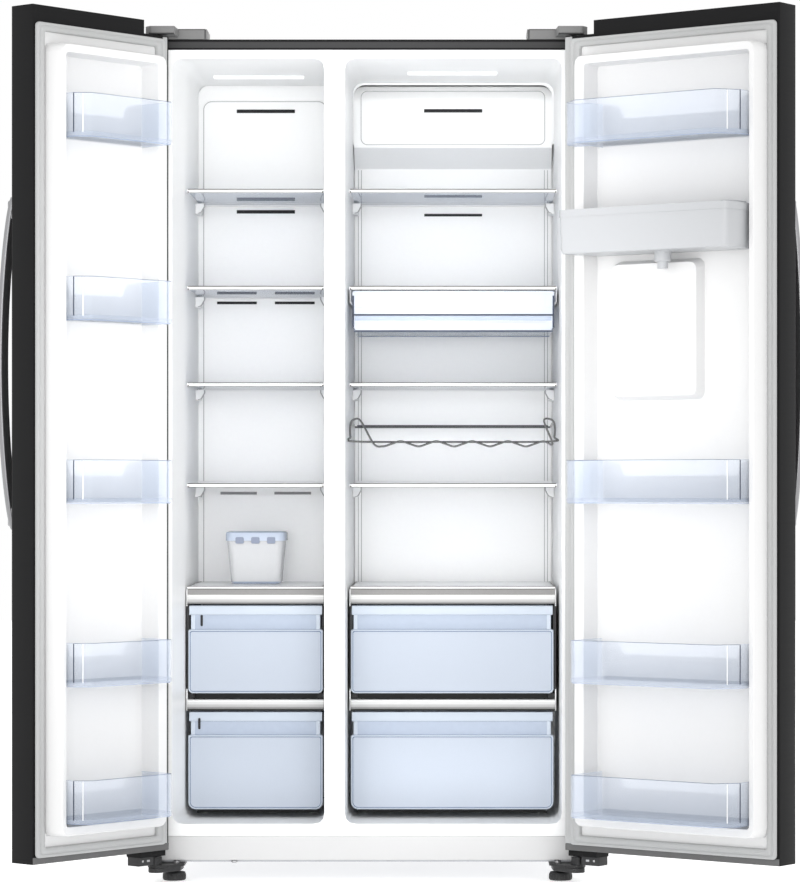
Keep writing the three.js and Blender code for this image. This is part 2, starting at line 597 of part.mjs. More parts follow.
function doorHandle(door) {
  const kit = doorKit(door);
  const [z0, z1] = HANDLE.z;
  const u = (kit.end - HANDLE.inset) * door.side;
  const mount = DOOR.outer - GAP;
  const path = [];
  const steps = 16;
  for (let i = 0; i <= steps; i++) {
    const t = i / steps;
    const rise = HANDLE.rise * Math.sin(Math.PI * t) ** 0.6;
    path.push(new THREE.Vector3(u, mount - HANDLE.half[1] - 0.4 - rise, z0 + (z1 - z0) * t));
  }
  const section = rectangle([-HANDLE.half[1], HANDLE.half[1]], [-HANDLE.half[0], HANDLE.half[0]], 5);
  const bar = new THREE.ExtrudeGeometry(section, {
    steps: 16, extrudePath: new THREE.CatmullRomCurve3(path), curveSegments: 1,
  });
  const plate = cut(solid(bar), box([u - 40, u + 40], [mount, 60], [0, 1800]));
  const feet = [z0 + 26, z1 - 26].map((z) => box([u - 9, u + 9], [mount - 26, mount], [z - 20, z + 20]));
  return join(plate, ...feet);
}

function doorBin(door, shape) {
  const kit = doorKit(door);
  return (bottom) => {
    const top = bottom + BIN_HEIGHT;
    const outer = kit.loft([[bottom, shape(2)], [bottom + 8, shape(1)], [top, shape(0)]]);
    const inner = kit.loft([[bottom + 2.5, shape(4.2)], [bottom + 8, shape(3.5)], [top + 1, shape(2.5)]]);
    return cut(outer, inner);
  };
}

const leftBinShape = (by) => [
  [74 + by, 33.3 + by, 4], [326 - by, 33.3 + by, 4], [326 - by, 97 - by * 0.4, 5],
  [301 - by * 0.4, 125 - by, 8], [74 + by, 125 - by, 8],
];
const rightBinShape = (by) => [
  [84 + by, 33.3 + by, 4], [464 - by, 33.3 + by, 4], [464 - by, 105 - by * 0.4, 5],
  [431 - by * 0.4, 150 - by, 8], [84 + by, 150 - by, 8],
];
const wideBinShape = (by) => [
  [86 + by, 33.3 + by, 3], [464 - by, 33.3 + by, 4], [464 - by, 105 - by * 0.4, 5],
  [431 - by * 0.4, 150 - by, 8], [96 + by * 0.6, 150 - by, 10], [52 + by, 116 - by * 0.3, 6],
  [52 + by, 82 + by, 6], [86 + by, 82 + by, 2],
];

function tankShape(by) {
  const [u0, u1] = TANK.u;
  const [v0, v1] = TANK.v;
  const [shoulderU, shoulderV] = TANK.shoulder;
  return [
    [shoulderU + by, v0 + by, 6], [u1 - by, v0 + by, 6], [u1 - by, v1 - by, 12],
    [u0 + by, v1 - by, 12], [u0 + by, shoulderV + by, 5], [shoulderU + by, shoulderV + by, 2],
  ];
}

function waterTank() {
  const kit = doorKit(RIGHT_DOOR);
  const [bottom, top] = TANK.z;
  const tub = kit.loft([[bottom, tankShape(4)], [bottom + 10, tankShape(1)], [top, tankShape(0)]]);
  const hollow = kit.loft([[bottom + 3, tankShape(6)], [bottom + 11, tankShape(4)], [top + 1, tankShape(3)]]);
  const valve = join(kit.post(17, [1277, bottom + 1], 272, 92, 20), kit.post(11, [1262, 1278], 272, 92, 20));
  return join(cut(tub, hollow), valve);
}

function tankLid() {
  const kit = doorKit(RIGHT_DOOR);
  const z = TANK.z[1] + GAP;
  const plate = kit.slab(tankShape(-1), [z, z + 9]);
  const skirt = cut(kit.slab(tankShape(-1), [z - 6, z + 1]), kit.slab(tankShape(-0.4), [z - 8, z]));
  const flap = kit.slab([[425, 60, 6], [452, 60, 6], [452, 120, 6], [425, 120, 6]], [z + 8.5, z + 13]);
  return join(plate, skirt, flap);
}

function dispenserPaddle() {
  const kit = doorKit(RIGHT_DOOR);
  const lever = prismX(outline([
    [3, 1232, 2], [-3, 1232, 2], [-5, 1200, 6], [-17, 1118, 2], [-13, 1116, 2], [-1, 1200, 6],
  ]), [-262, -188]);
  const axle = cylinder(3.2, [-268, -182], [0, 1228], "x", 12);
  return join(lever, axle, kit.block([210, 240], [-6, -1], [1190, 1210]));
}

// ---------------------------------------------------------------- assembly
function doorGroup(door, parts) {
  const group = new THREE.Group();
  group.position.set(-door.side * DOOR.pivotX, DOOR.pivotY, 0);
  group.rotation.z = THREE.MathUtils.degToRad(-door.side * door.open);
  group.add(...parts);
  return group;
}

function cabinetNodes() {
  return [
    node("outer_shell", outerShell(), charcoal),
    node("back_panel", backPanel(), galvanised),
    node("insulation_foam", insulation(), foam),
    node("inner_liner", innerLiner(), white),
    node("kick_panel", kickPanel(), white),
    node("base_pan", basePan(), galvanised),
    node("upper_hinge_left", upperHinge(-1), coverGrey),
    node("upper_hinge_right", upperHinge(1), coverGrey),
    node("lower_hinge_left", lowerHinge(-1), black),
    node("lower_hinge_right", lowerHinge(1), black),
    node("front_foot_left", frontFoot(-FOOT.x), black),
    node("front_foot_right", frontFoot(FOOT.x), black),
    node("rear_roller_left", roller(-FOOT.x), black),
    node("rear_roller_right", roller(FOOT.x), black),
  ];
}

function coolingNodes() {
  return [
    node("freezer_air_duct", freezerAirDuct(), white),
    node("fridge_air_duct", fridgeAirDuct(), white),
    node("freezer_light", ceilingLamp([-341, -146], [300, 326]), lamp),
    node("fridge_light", ceilingLamp([82, 274], [232, 258]), lamp),
    node("evaporator", evaporator(), aluminium),
    node("evaporator_fan", evaporatorFan(), black),
    node("compressor", compressor(), black),
    node("condenser", condenser(), black),
  ];
}

function storageNodes() {
  const nodes = [];
  SHELF_TOPS.forEach((top, i) => {
    nodes.push(node(`freezer_shelf_${i + 1}`, shelf(FREEZER)(top), glass));
    const pane = shelf(FRIDGE)(top);
    nodes.push(node(`fridge_shelf_${i + 1}`, i === 1 ? join(pane, ...deliRails(top)) : pane, glass));
  });
  for (const [name, room] of [["freezer", FREEZER], ["fridge", FRIDGE]]) {
    nodes.push(node(`${name}_drawer_frame`, drawerFrame(room), trimMetal));
    DRAWERS.forEach((size) => nodes.push(node(`${name}_drawer_${size.name}`, drawer(room, size), frosted)));
  }
  nodes.push(
    node("deli_drawer", deliDrawer(), clearBlue),
    node("wine_rack", wineRack(), chrome),
    node("ice_box", iceBox(), clearBlue),
    node("ice_box_lid", iceBoxLid(), lidBlue),
  );
  return nodes;
}

function freezerDoor() {
  const bin = doorBin(LEFT_DOOR, leftBinShape);
  return doorGroup(LEFT_DOOR, [
    node("freezer_door_panel", doorPanel(LEFT_DOOR), charcoal),
    node("freezer_door_liner", doorLiner(LEFT_DOOR, false), white),
    node("freezer_door_gasket", doorGasket(LEFT_DOOR), seal),
    node("freezer_door_handle", doorHandle(LEFT_DOOR), trimMetal),
    ...BIN_BOTTOMS.map((z, i) => node(`freezer_door_bin_${i + 1}`, bin(z), clearBlue)),
  ]);
}

function fridgeDoor() {
  const plain = doorBin(RIGHT_DOOR, rightBinShape);
  const wide = doorBin(RIGHT_DOOR, wideBinShape);
  const [first, , ...rest] = BIN_BOTTOMS; // the tank takes the second bin's place
  const makers = [wide, wide, plain, plain];
  return doorGroup(RIGHT_DOOR, [
    node("fridge_door_panel", withNiche(doorPanel(RIGHT_DOOR), RIGHT_DOOR), charcoal),
    node("fridge_door_liner", doorLiner(RIGHT_DOOR, true), white),
    node("fridge_door_gasket", doorGasket(RIGHT_DOOR), seal),
    node("fridge_door_handle", doorHandle(RIGHT_DOOR), trimMetal),
    ...[first, ...rest].map((z, i) => node(`fridge_door_bin_${i + 1}`, makers[i](z), clearBlue)),
    node("water_tank", waterTank(), white),
    node("water_tank_lid", tankLid(), white),
    node("dispenser_paddle", dispenserPaddle(), black),
  ]);
}

const refrigerator = new THREE.Group();
refrigerator.add(...cabinetNodes(), ...coolingNodes(), ...storageNodes(), freezerDoor(), fridgeDoor());

// The origin is the centre of the floor area that the open refrigerator covers.
const footprint = new THREE.Box3().setFromObject(refrigerator, true);
const centre = footprint.getCenter(new THREE.Vector3());
refrigerator.position.set(-centre.x, -centre.y, -footprint.min.z);
refrigerator.updateMatrixWorld(true);

export default refrigerator;
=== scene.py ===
import json
import math

import bmesh
import bpy
from mathutils import Matrix, Vector

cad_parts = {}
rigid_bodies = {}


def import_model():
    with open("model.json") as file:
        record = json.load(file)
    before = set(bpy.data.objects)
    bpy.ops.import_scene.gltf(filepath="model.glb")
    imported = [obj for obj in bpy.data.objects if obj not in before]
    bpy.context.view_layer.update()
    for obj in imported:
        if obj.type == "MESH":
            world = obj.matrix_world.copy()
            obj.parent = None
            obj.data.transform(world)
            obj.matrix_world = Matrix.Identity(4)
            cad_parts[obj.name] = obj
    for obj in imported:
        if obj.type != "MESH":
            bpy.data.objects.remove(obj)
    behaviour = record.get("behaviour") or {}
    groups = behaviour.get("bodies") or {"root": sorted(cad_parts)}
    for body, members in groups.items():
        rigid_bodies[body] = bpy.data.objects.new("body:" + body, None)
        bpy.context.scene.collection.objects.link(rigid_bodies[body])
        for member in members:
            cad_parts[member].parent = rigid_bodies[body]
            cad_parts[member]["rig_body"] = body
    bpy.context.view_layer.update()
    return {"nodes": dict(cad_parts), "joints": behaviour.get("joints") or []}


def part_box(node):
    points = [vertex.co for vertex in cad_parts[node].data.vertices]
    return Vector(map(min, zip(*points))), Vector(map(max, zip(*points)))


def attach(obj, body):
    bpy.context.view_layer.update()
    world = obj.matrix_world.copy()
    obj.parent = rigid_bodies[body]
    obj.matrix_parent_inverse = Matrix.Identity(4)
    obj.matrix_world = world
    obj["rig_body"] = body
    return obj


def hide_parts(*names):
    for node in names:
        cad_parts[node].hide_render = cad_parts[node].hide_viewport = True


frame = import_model()

MM = 0.001
NODES = frame["nodes"]


# ---------------------------------------------------------------- drawing frames
class Place:
    """A body's own drawing frame in millimetres, so that a door is drawn as if it were shut."""

    def __init__(self, body, origin, turn=0.0, mirror=1):
        self.body = body
        scale = Matrix.Diagonal((MM * mirror, MM, MM, 1.0))
        self.matrix = Matrix.Translation(origin) @ Matrix.Rotation(turn, 4, "Z") @ scale
        self.inverse = self.matrix.inverted()

    def spans(self, node):
        """A CAD node's extent in this frame, as three (low, high) pairs."""
        points = [self.inverse @ v.co for v in NODES[node].data.vertices]
        return [(min(p[k] for p in points), max(p[k] for p in points)) for k in range(3)]


def cabinet_place():
    """X from the middle of the cabinet, Y from its front, Z from the floor."""
    low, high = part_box("outer_shell")
    return Place("cabinet", Vector(((low.x + high.x) / 2, low.y, 0)))


def door_place(body, mirror):
    """X runs along the door from its pivot, Y from the pivot towards the food side."""
    joint = next(j for j in frame["joints"] if j["child"] == body)
    x, y, _ = joint["pos_m"]
    opened = math.radians(-joint["range_deg"][0])
    return Place(body, Vector((x, y, 0)), -mirror * opened, mirror)


ROOM = cabinet_place()
LEFT = door_place("freezer_door", 1)
RIGHT = door_place("fridge_door", -1)


def riding(place, body):
    """The same drawing frame for a piece that moves with another body."""
    other = Place.__new__(Place)
    other.body, other.matrix, other.inverse = body, place.matrix, place.inverse
    return other


# ---------------------------------------------------------------- outlines
def grow(span, by):
    return (span[0] - by, span[1] + by)


def middle(span):
    return (span[0] + span[1]) / 2


def ends(span):
    """Each end of a span, with the sign of the way inwards."""
    return (span[0], 1), (span[1], -1)


def rounded(points, steps):
    """A closed outline through (a, b, corner radius) points, with each corner as an arc."""
    found = []
    for i, (a, b, r) in enumerate(points):
        here = Vector((a, b))
        before = (Vector(points[i - 1][:2]) - here).normalized()
        after = (Vector(points[(i + 1) % len(points)][:2]) - here).normalized()
        if r <= 0 or abs(before.dot(after)) > 0.999:
            found.append((a, b))
            continue
        half = before.angle(after) / 2
        centre = here + (before + after).normalized() * (r / math.sin(half))
        first = here + before * (r / math.tan(half)) - centre
        last = here + after * (r / math.tan(half)) - centre
        turn = first.angle_signed(last)
        for k in range(steps + 1):
            found.append(tuple(centre + Matrix.Rotation(-turn * k / steps, 2) @ first))
    return found


def rectangle(a, b, r, steps=6):
    return rounded([(a[0], b[0], r), (a[1], b[0], r), (a[1], b[1], r), (a[0], b[1], r)], steps)


def circle(radius, centre, sides):
    turns = [2 * math.pi * i / sides for i in range(sides)]
    return [(centre[0] + radius * math.cos(turn), centre[1] + radius * math.sin(turn)) for turn in turns]


def smooth_path(points, steps, closed=False):
    """A Catmull-Rom curve through the points."""
    count = len(points)
    pick = (lambda i: points[i % count]) if closed else (lambda i: points[min(max(i, 0), count - 1)])
    found = []
    for i in range(count if closed else count - 1):
        p0, p1, p2, p3 = (Vector(pick(i + k)) for k in (-1, 0, 1, 2))
        for k in range(steps):
            t = k / steps
            found.append(0.5 * (2 * p1 + (p2 - p0) * t + (2 * p0 - 5 * p1 + 4 * p2 - p3) * t * t
                                + (3 * p1 - p0 - 3 * p2 + p3) * t ** 3))
    if not closed:
        found.append(Vector(points[-1]))
    return found


# ---------------------------------------------------------------- mesh building
class Shape:
    """Closed solids gathered into one mesh. A mark is the index of a face's material."""

    def __init__(self):
        self.verts, self.faces, self.marks = [], [], []

    def _add(self, verts, faces, mark):
        start = len(self.verts)
        self.verts += [tuple(v) for v in verts]
        self.faces += [[start + i for i in face] for face in faces]
        self.marks += mark if isinstance(mark, list) else [mark] * len(faces)
        return self

    def stack(self, rings, mark=0, band_marks=None, side_mark=None, loop=False):
        """Rings of equal length joined in order, with caps on the first and last unless they loop."""
        count = len(rings[0])
        bands = len(rings) if loop else len(rings) - 1
        faces, marks = [], []
        for k in range(bands):
            here, there = k * count, ((k + 1) % len(rings)) * count
            for i in range(count):
                j = (i + 1) % count
                faces.append([here + i, here + j, there + j, there + i])
                chosen = (band_marks or {}).get(k, mark)
                marks.append(side_mark(i) if side_mark and side_mark(i) is not None else chosen)
        if not loop:
            faces += [list(range(count))[::-1], [bands * count + i for i in range(count)]]
            marks += [mark, mark]
        return self._add([p for ring in rings for p in ring], faces, marks)

    def prism(self, outline, span, axis="z", mark=0):
        """An outline in (X, Y), (X, Z) or (Y, Z), drawn out along the axis that is left."""
        lift = {"z": lambda a, b, c: (a, b, c), "y": lambda a, b, c: (a, c, b),
                "x": lambda a, b, c: (c, a, b)}[axis]
        return self.stack([[lift(a, b, c) for a, b in outline] for c in span], mark)

    def box(self, x, y, z):
        return self.prism([(x[0], y[0]), (x[1], y[0]), (x[1], y[1]), (x[0], y[1])], z)

    def round_bar(self, radius, centre, span, axis="z", sides=16):
        return self.prism(circle(radius, centre, sides), span, axis)

    def sweep(self, path, section, closed=False, up=(0, 0, 1)):
        """A section of (across, along up) offsets carried along a path without twisting."""
        path = [Vector(p) for p in path]
        count = len(path)
        rings, normal = [], Vector(up)
        for i, here in enumerate(path):
            ahead = path[(i + 1) % count] if closed else path[min(i + 1, count - 1)]
            behind = path[i - 1] if closed or i else path[0]
            tangent = (ahead - behind).normalized()
            normal = (normal - tangent * normal.dot(tangent)).normalized()
            across = tangent.cross(normal)
            rings.append([here + across * a + normal * b for a, b in section])
        return self.stack(rings, loop=closed)

    def wire(self, path, radius, closed=False, sides=14):
        return self.sweep(path, circle(radius, (0, 0), sides), closed)

    def turned(self, profile, centre, sides=40):
        """(radius, height) points turned about a vertical axis."""
        return self.stack([[(a, b, z) for a, b in circle(r, centre, sides)] for r, z in profile])

    def make(self, name, place, materials, slot, bevel=0.0, smooth=35, segments=2, replaces=()):
        bm = bmesh.new()
        made = [bm.verts.new(place.matrix @ Vector(v)) for v in self.verts]
        for face, mark in zip(self.faces, self.marks):
            bm.faces.new([made[i] for i in face]).material_index = mark
        return finish_piece(bm, name, place.body, materials, bevel, smooth, segments, replaces)


def finish_piece(bm, name, body, materials, bevel, smooth, segments, replaces):
    """Makes an object of the mesh, softens its edges and hangs it on its body."""
    bmesh.ops.recalc_face_normals(bm, faces=bm.faces)
    mesh = bpy.data.meshes.new(name)
    bm.to_mesh(mesh)
    bm.free()
    for material in materials if isinstance(materials, (list, tuple)) else [materials]:
        mesh.materials.append(material)
    mesh.shade_smooth()
    mesh.set_sharp_from_angle(angle=math.radians(smooth))
    piece = bpy.data.objects.new(name, mesh)
    bpy.context.scene.collection.objects.link(piece)
    if bevel:
        soften = piece.modifiers.new("soft_edges", "BEVEL")
        soften.width = bevel * MM
        soften.segments = segments
        soften.limit_method = "ANGLE"
        soften.angle_limit = math.radians(40)
        soften.use_clamp_overlap = True
        soften.harden_normals = True
    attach(piece, body)
    if replaces:
        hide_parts(*replaces)
    return piece


def refine(node, material, bevel, smooth=40, segments=2):
    """Stands a softened copy in for a CAD node: welded, flat faces merged, edges rounded."""
    source = NODES[node]
    bm = bmesh.new()
    bm.from_mesh(source.data)
    for layer in list(bm.loops.layers.uv.values()):
        bm.loops.layers.uv.remove(layer)
    bmesh.ops.remove_doubles(bm, verts=bm.verts, dist=2e-5)
    bmesh.ops.dissolve_limit(bm, angle_limit=math.radians(1.5), verts=bm.verts, edges=bm.edges)
    clean = bmesh.new()
    index = {v: clean.verts.new(v.co) for v in bm.verts}
    for face in bm.faces:
        clean.faces.new([index[v] for v in face.verts])
    bm.free()
    return finish_piece(clean, node + "_skin", source["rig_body"], material, bevel, smooth,
                        segments, (node,))


def keep(node, material):
    """Leaves a CAD node in place and gives it a finish."""
    NODES[node].data.materials.clear()
    NODES[node].data.materials.append(material)


# ---------------------------------------------------------------- finishes
RELIEF_DEPTH = 0.0004  # metres


def finish(name, color, roughness, metallic=0.0, alpha=1.0, scale=90.0, bump=0.05, vary=0.04,
           rough_vary=0.08, stretch=(1, 1, 1), glow=0.0, gloss=0.5, grazing=0.0):
    """A Principled surface whose colour, roughness and relief follow a fine grain.

    A clear sheet with some grazing turns into a mirror at low angles, as glass does."""
    material = bpy.data.materials.new(name)
    material.use_nodes = True
    nodes, links = material.node_tree.nodes, material.node_tree.links
    shader = nodes["Principled BSDF"]
    shader.inputs["Metallic"].default_value = metallic
    shader.inputs["Alpha"].default_value = alpha
    shader.inputs["Specular IOR Level"].default_value = gloss
    if glow:
        shader.inputs["Emission Color"].default_value = (1, 1, 1, 1)
        shader.inputs["Emission Strength"].default_value = glow
    where = nodes.new("ShaderNodeTexCoord")
    mapping = nodes.new("ShaderNodeMapping")
    mapping.inputs["Scale"].default_value = stretch
    noise = nodes.new("ShaderNodeTexNoise")
    noise.inputs["Scale"].default_value = scale
    noise.inputs["Detail"].default_value = 4
    tone = nodes.new("ShaderNodeMix")
    tone.data_type = "RGBA"
    tone.inputs["A"].default_value = (*[c * (1 - vary) for c in color], 1)
    tone.inputs["B"].default_value = (*[min(1.0, c * (1 + vary)) for c in color], 1)
    rough = nodes.new("ShaderNodeMapRange")
    rough.inputs["To Min"].default_value = roughness * (1 - rough_vary)
    rough.inputs["To Max"].default_value = min(1.0, roughness * (1 + rough_vary))
    relief = nodes.new("ShaderNodeBump")
    relief.inputs["Strength"].default_value = bump
    relief.inputs["Distance"].default_value = RELIEF_DEPTH
    links.new(where.outputs["Object"], mapping.inputs["Vector"])
    links.new(mapping.outputs["Vector"], noise.inputs["Vector"])
    links.new(noise.outputs["Fac"], tone.inputs["Factor"])
    links.new(noise.outputs["Fac"], rough.inputs["Value"])
    links.new(noise.outputs["Fac"], relief.inputs["Height"])
    links.new(tone.outputs["Result"], shader.inputs["Base Color"])
    links.new(rough.outputs["Result"], shader.inputs["Roughness"])
    links.new(relief.outputs["Normal"], shader.inputs["Normal"])
    if grazing:
        fresnel = nodes.new("ShaderNodeFresnel")
        cover = nodes.new("ShaderNodeMapRange")
        cover.inputs["To Min"].default_value = alpha
        cover.inputs["To Max"].default_value = grazing
        links.new(fresnel.outputs["Fac"], cover.inputs["Value"])
        links.new(cover.outputs["Result"], shader.inputs["Alpha"])
    return material


charcoal = finish("charcoal_steel", (0.010, 0.010, 0.0105), 0.46, scale=220, stretch=(0.06, 0.06, 1.6),
                  bump=0.12, vary=0.16, rough_vary=0.2, gloss=0.1)
trim_grey = finish("trim_grey", (0.041, 0.041, 0.042), 0.45, scale=220, stretch=(0.06, 1, 1), vary=0.1,
                   gloss=0.2)
white = finish("liner_white", (0.93, 0.935, 0.935), 0.34, scale=130, bump=0.04, vary=0.012)
face_white = finish("panel_white", (0.86, 0.86, 0.86), 0.42, scale=160, bump=0.05, vary=0.012)
# A darker copy of the liner white, painted shade for the kick panel.
kick_white_shaded = finish("kick_white_shaded", (0.62, 0.62, 0.62), 0.45, scale=160, bump=0.05, vary=0.012)
# Painted shadow for the fine lines in seams and gaps; the deli front's hairline uses it too.
seam_shadow_grey = finish("seam_shadow_grey", (0.42, 0.42, 0.42), 0.6, scale=160, vary=0.05)
# Painted shade for the recess under a drawer cover.
recess_painted_shade = finish("recess_painted_shade", (0.30, 0.295, 0.29), 0.55, scale=200, vary=0.06)
tank_white = finish("tank_white", (0.44, 0.45, 0.465), 0.3, scale=120, bump=0.03, vary=0.012)
seal_grey = finish("seal_grey", (0.42, 0.425, 0.425), 0.62, scale=240, bump=0.1, vary=0.04)
# A darker copy of the liner white, painted shade for the door liners.
door_white_shaded = finish("door_liner_white", (0.72, 0.72, 0.72), 0.36, scale=130, bump=0.04, vary=0.012)
edge_cap_grey = finish("edge_cap_grey", (0.11, 0.11, 0.11), 0.5, scale=300, vary=0.06)
# Painted refraction: dark edge lines where clear plastic is seen edge-on.
navy_refraction = finish("navy_edge", (0.02, 0.03, 0.06), 0.3, alpha=0.95, scale=60, vary=0.1)
faint = finish("faint_clear", (0.80, 0.86, 0.97), 0.14, alpha=0.012, scale=60, vary=0.03)
bin_face = finish("bin_face", (0.70, 0.78, 0.92), 0.16, alpha=0.2, scale=60, bump=0.02, vary=0.02)
clear_blue = finish("clear_blue", (0.64, 0.78, 1.0), 0.14, alpha=0.085, scale=60, bump=0.02, vary=0.03)
# Painted refraction: a dark edge copy and a denser rim copy of the clear blue.
blue_edge_refraction = finish("clear_blue_edge", (0.20, 0.27, 0.42), 0.2, alpha=0.6, scale=60, vary=0.06)
blue_rim_refraction = finish("clear_blue_rim", (0.46, 0.55, 0.72), 0.18, alpha=0.42, scale=60, vary=0.05)
frosted = finish("frosted_blue", (0.50, 0.55, 0.63), 0.4, alpha=0.88, scale=420, bump=0.12, vary=0.03)
# A lighter copy of the frosted finish, a painted highlight on the drawer fronts' raised border and rim.
frosted_highlight = finish("frosted_highlight", (0.56, 0.62, 0.70), 0.3, alpha=0.86, scale=420, bump=0.06, vary=0.03)
grip_blue = finish("grip_blue", (0.50, 0.57, 0.69), 0.22, alpha=0.66, scale=90, vary=0.04)
cover_glass = finish("cover_glass", (0.97, 0.975, 0.98), 0.2, alpha=0.97, scale=60, bump=0.0, vary=0.02)
deli_pale = finish("deli_pale", (0.62, 0.667, 0.745), 0.2, alpha=0.78, scale=120, bump=0.03, vary=0.02)
glass = finish("shelf_glass", (0.74, 0.81, 0.93), 0.02, alpha=0.2, scale=30, bump=0.0, vary=0.02,
               grazing=1.0)
glass_edge = finish("shelf_glass_edge", (0.05, 0.045, 0.04), 0.3, alpha=0.9, scale=60, vary=0.1)
# Painted shade: each satin bar is drawn as bands that darken from its top to its foot.
BAR_PAINTED_SHADING = (0.78, 0.60, 0.42, 0.24, 0.02)  # from the top of a satin bar to its foot
bar_painted_shade_finishes = [finish(f"satin_bar_painted_shade_{k}", (tone, tone, tone * 0.99), 0.34, metallic=0.1, scale=260,
                    stretch=(0.05, 1, 1), bump=0.05, vary=0.02) for k, tone in enumerate(BAR_PAINTED_SHADING)]
chrome = finish("chrome_wire", (0.16, 0.16, 0.16), 0.14, metallic=1.0, scale=180, vary=0.08, bump=0.02)
handle_metal = finish("handle_metal", (0.33, 0.33, 0.34), 0.3, metallic=0.9, scale=260,
                      stretch=(1, 1, 0.05), bump=0.06, vary=0.08, rough_vary=0.2)
hinge_grey = finish("hinge_grey", (0.165, 0.165, 0.165), 0.5, scale=420, bump=0.12, vary=0.05)
black_steel = finish("black_steel", (0.016, 0.016, 0.017), 0.36, metallic=0.3, scale=320, bump=0.12, vary=0.2)
black_plastic = finish("black_plastic", (0.018, 0.018, 0.019), 0.48, scale=420, bump=0.15, vary=0.15)
# Painted shade seen through slots, in a dark copy and a paler copy.
slot_shade_dark = finish("slot_shade_dark", (0.012, 0.012, 0.014), 0.6, scale=200, vary=0.2)
slot_shade_pale = finish("slot_shade_pale", (0.30, 0.30, 0.31), 0.6, scale=200, vary=0.1)
galvanised = finish("galvanised", (0.46, 0.47, 0.49), 0.42, metallic=0.75, scale=34, bump=0.05, vary=0.14,
                    rough_vary=0.25)
foam = finish("foam", (0.75, 0.66, 0.42), 0.95, scale=260, bump=0.5, vary=0.1)
fins = finish("fins", (0.62, 0.64, 0.66), 0.35, metallic=0.9, scale=200, vary=0.08)
lamp = finish("lamp_diffuser", (0.92, 0.92, 0.92), 0.3, scale=300, vary=0.01, glow=0.6)
lid_blue = finish("lid_blue", (0.47, 0.53, 0.64), 0.26, alpha=0.9, scale=90, bump=0.03, vary=0.03)
clip_blue = finish("clip_blue", (0.19, 0.22, 0.30), 0.3, scale=90, bump=0.03, vary=0.03)
milky = finish("milky_clear", (0.86, 0.87, 0.885), 0.3, alpha=0.38, scale=90, bump=0.04, vary=0.02)
screw_steel = finish("screw_steel", (0.5, 0.5, 0.51), 0.3, metallic=1.0, scale=200, vary=0.1)


# ---------------------------------------------------------------- cabinet
def cabinet():
    """The shell and its trim, the liner, the kick panel, the rear, the feet and the hinges."""
    refine("outer_shell", charcoal, bevel=0.5)
    refine("inner_liner", white, bevel=1.4, smooth=45, segments=3)
    (x0, x1), (y0, _), (_, top) = ROOM.spans("outer_shell")
    bolt = Shape().turned([(0.01, 38), (4, 38.2), (6.5, 40), (6.5, 43), (5, 45)], (-277.5, 9), 20)
    bolt.make("kick_panel_bolt", ROOM, screw_steel, "liner_white")
    strip = Shape().prism(rectangle((x0 + 1.5, x1 - 1.5), (1738, top - 5), 0.8), (y0 - 0.7, y0 + 1.5), "y")
    strip.make("top_trim_strip", ROOM, trim_grey, "painted_steel", bevel=0.4)
    lip = Shape().box((x0 + 2, x1 - 2), (y0 - 0.8, y0 + 1), (1736.8, 1740.5))
    lip.make("top_trim_lip", ROOM, charcoal, "painted_steel", bevel=0.3)
    refine("kick_panel", kick_white_shaded, bevel=1.0)
    keep("insulation_foam", foam)
    refine("base_pan", galvanised, bevel=0.4)
    refine("back_panel", galvanised, bevel=0.3)
    for side in ("left", "right"):
        keep(f"rear_roller_{side}", black_plastic)
        foot(f"front_foot_{side}")
        upper_hinge(f"upper_hinge_{side}")
        lower_hinge(f"lower_hinge_{side}")
    rear_details()


def foot(node):
    """A ribbed levelling pad under a threaded stem."""
    x, y, (_, z1) = ROOM.spans(node)
    centre, radius = (middle(x), middle(y)), (x[1] - x[0]) / 2
    collar, thread = 22, 0.9
    pad = [(radius - 2, 0), (radius, 1.5), (radius, 13.5), (radius - 2, 17), (9, 18.5), (9, collar)]
    stem = [(6 if k % 2 else 5, collar + k * thread) for k in range(int((z1 - collar) / thread))]
    shape = Shape().turned([*pad, *stem, (0.01, z1)], centre)
    ribs = 20
    for at in circle(radius - 0.6, centre, ribs):
        shape.round_bar(1.3, at, (3, 12), sides=8)
    shape.make(node + "_pad", ROOM, black_plastic, "foot_black", replaces=(node,))


def upper_hinge(node):
    """The grey cover and arm, with two screw heads, the pin's cap and black lines along its edges that are
    painted shadow.
    """
    refine(node, hinge_grey, bevel=1.6, segments=3)
    (x0, x1), (y0, _), (_, z1) = ROOM.spans(node)
    outward = 1 if middle((x0, x1)) > 0 else -1
    pin_x = (x1 - 16) if outward > 0 else (x0 + 16)
    caps = Shape()
    caps.turned([(9, z1 - 1.0), (8.6, z1 + 0.9), (7.2, z1 + 1.5), (0.01, z1 + 1.6)], (pin_x, y0 + 23))
    for dx, y in ((50, 30), (92, 62)):
        caps.turned([(6, z1 - 1), (6, z1 + 0.6), (5, z1 + 1.2), (0.01, z1 + 1.3)], (pin_x - outward * dx, y))
    caps.make(node + "_caps", ROOM, black_plastic, "hinge_grey", bevel=0.3)
    # Black lines along the cover's and arm's edges are painted shadow.
    hinge_shadow_lines = Shape()
    hinge_shadow_lines.box(sorted((pin_x - outward * 103.4, pin_x - outward * 105.6)), (-2.6, 60), (1759, z1))
    hinge_shadow_lines.box(sorted((pin_x - outward * 46, pin_x - outward * 104)), (-2.5, 0), (z1 - 1.4, z1 + 0.4))
    hinge_shadow_lines.box(sorted((pin_x - outward * 44, pin_x + outward * 8)), (y0 - 0.4, y0 + 8), (1761.6, 1764.4))
    hinge_shadow_lines.make(node + "_edges", ROOM, black_plastic, "hinge_grey", bevel=0.3)


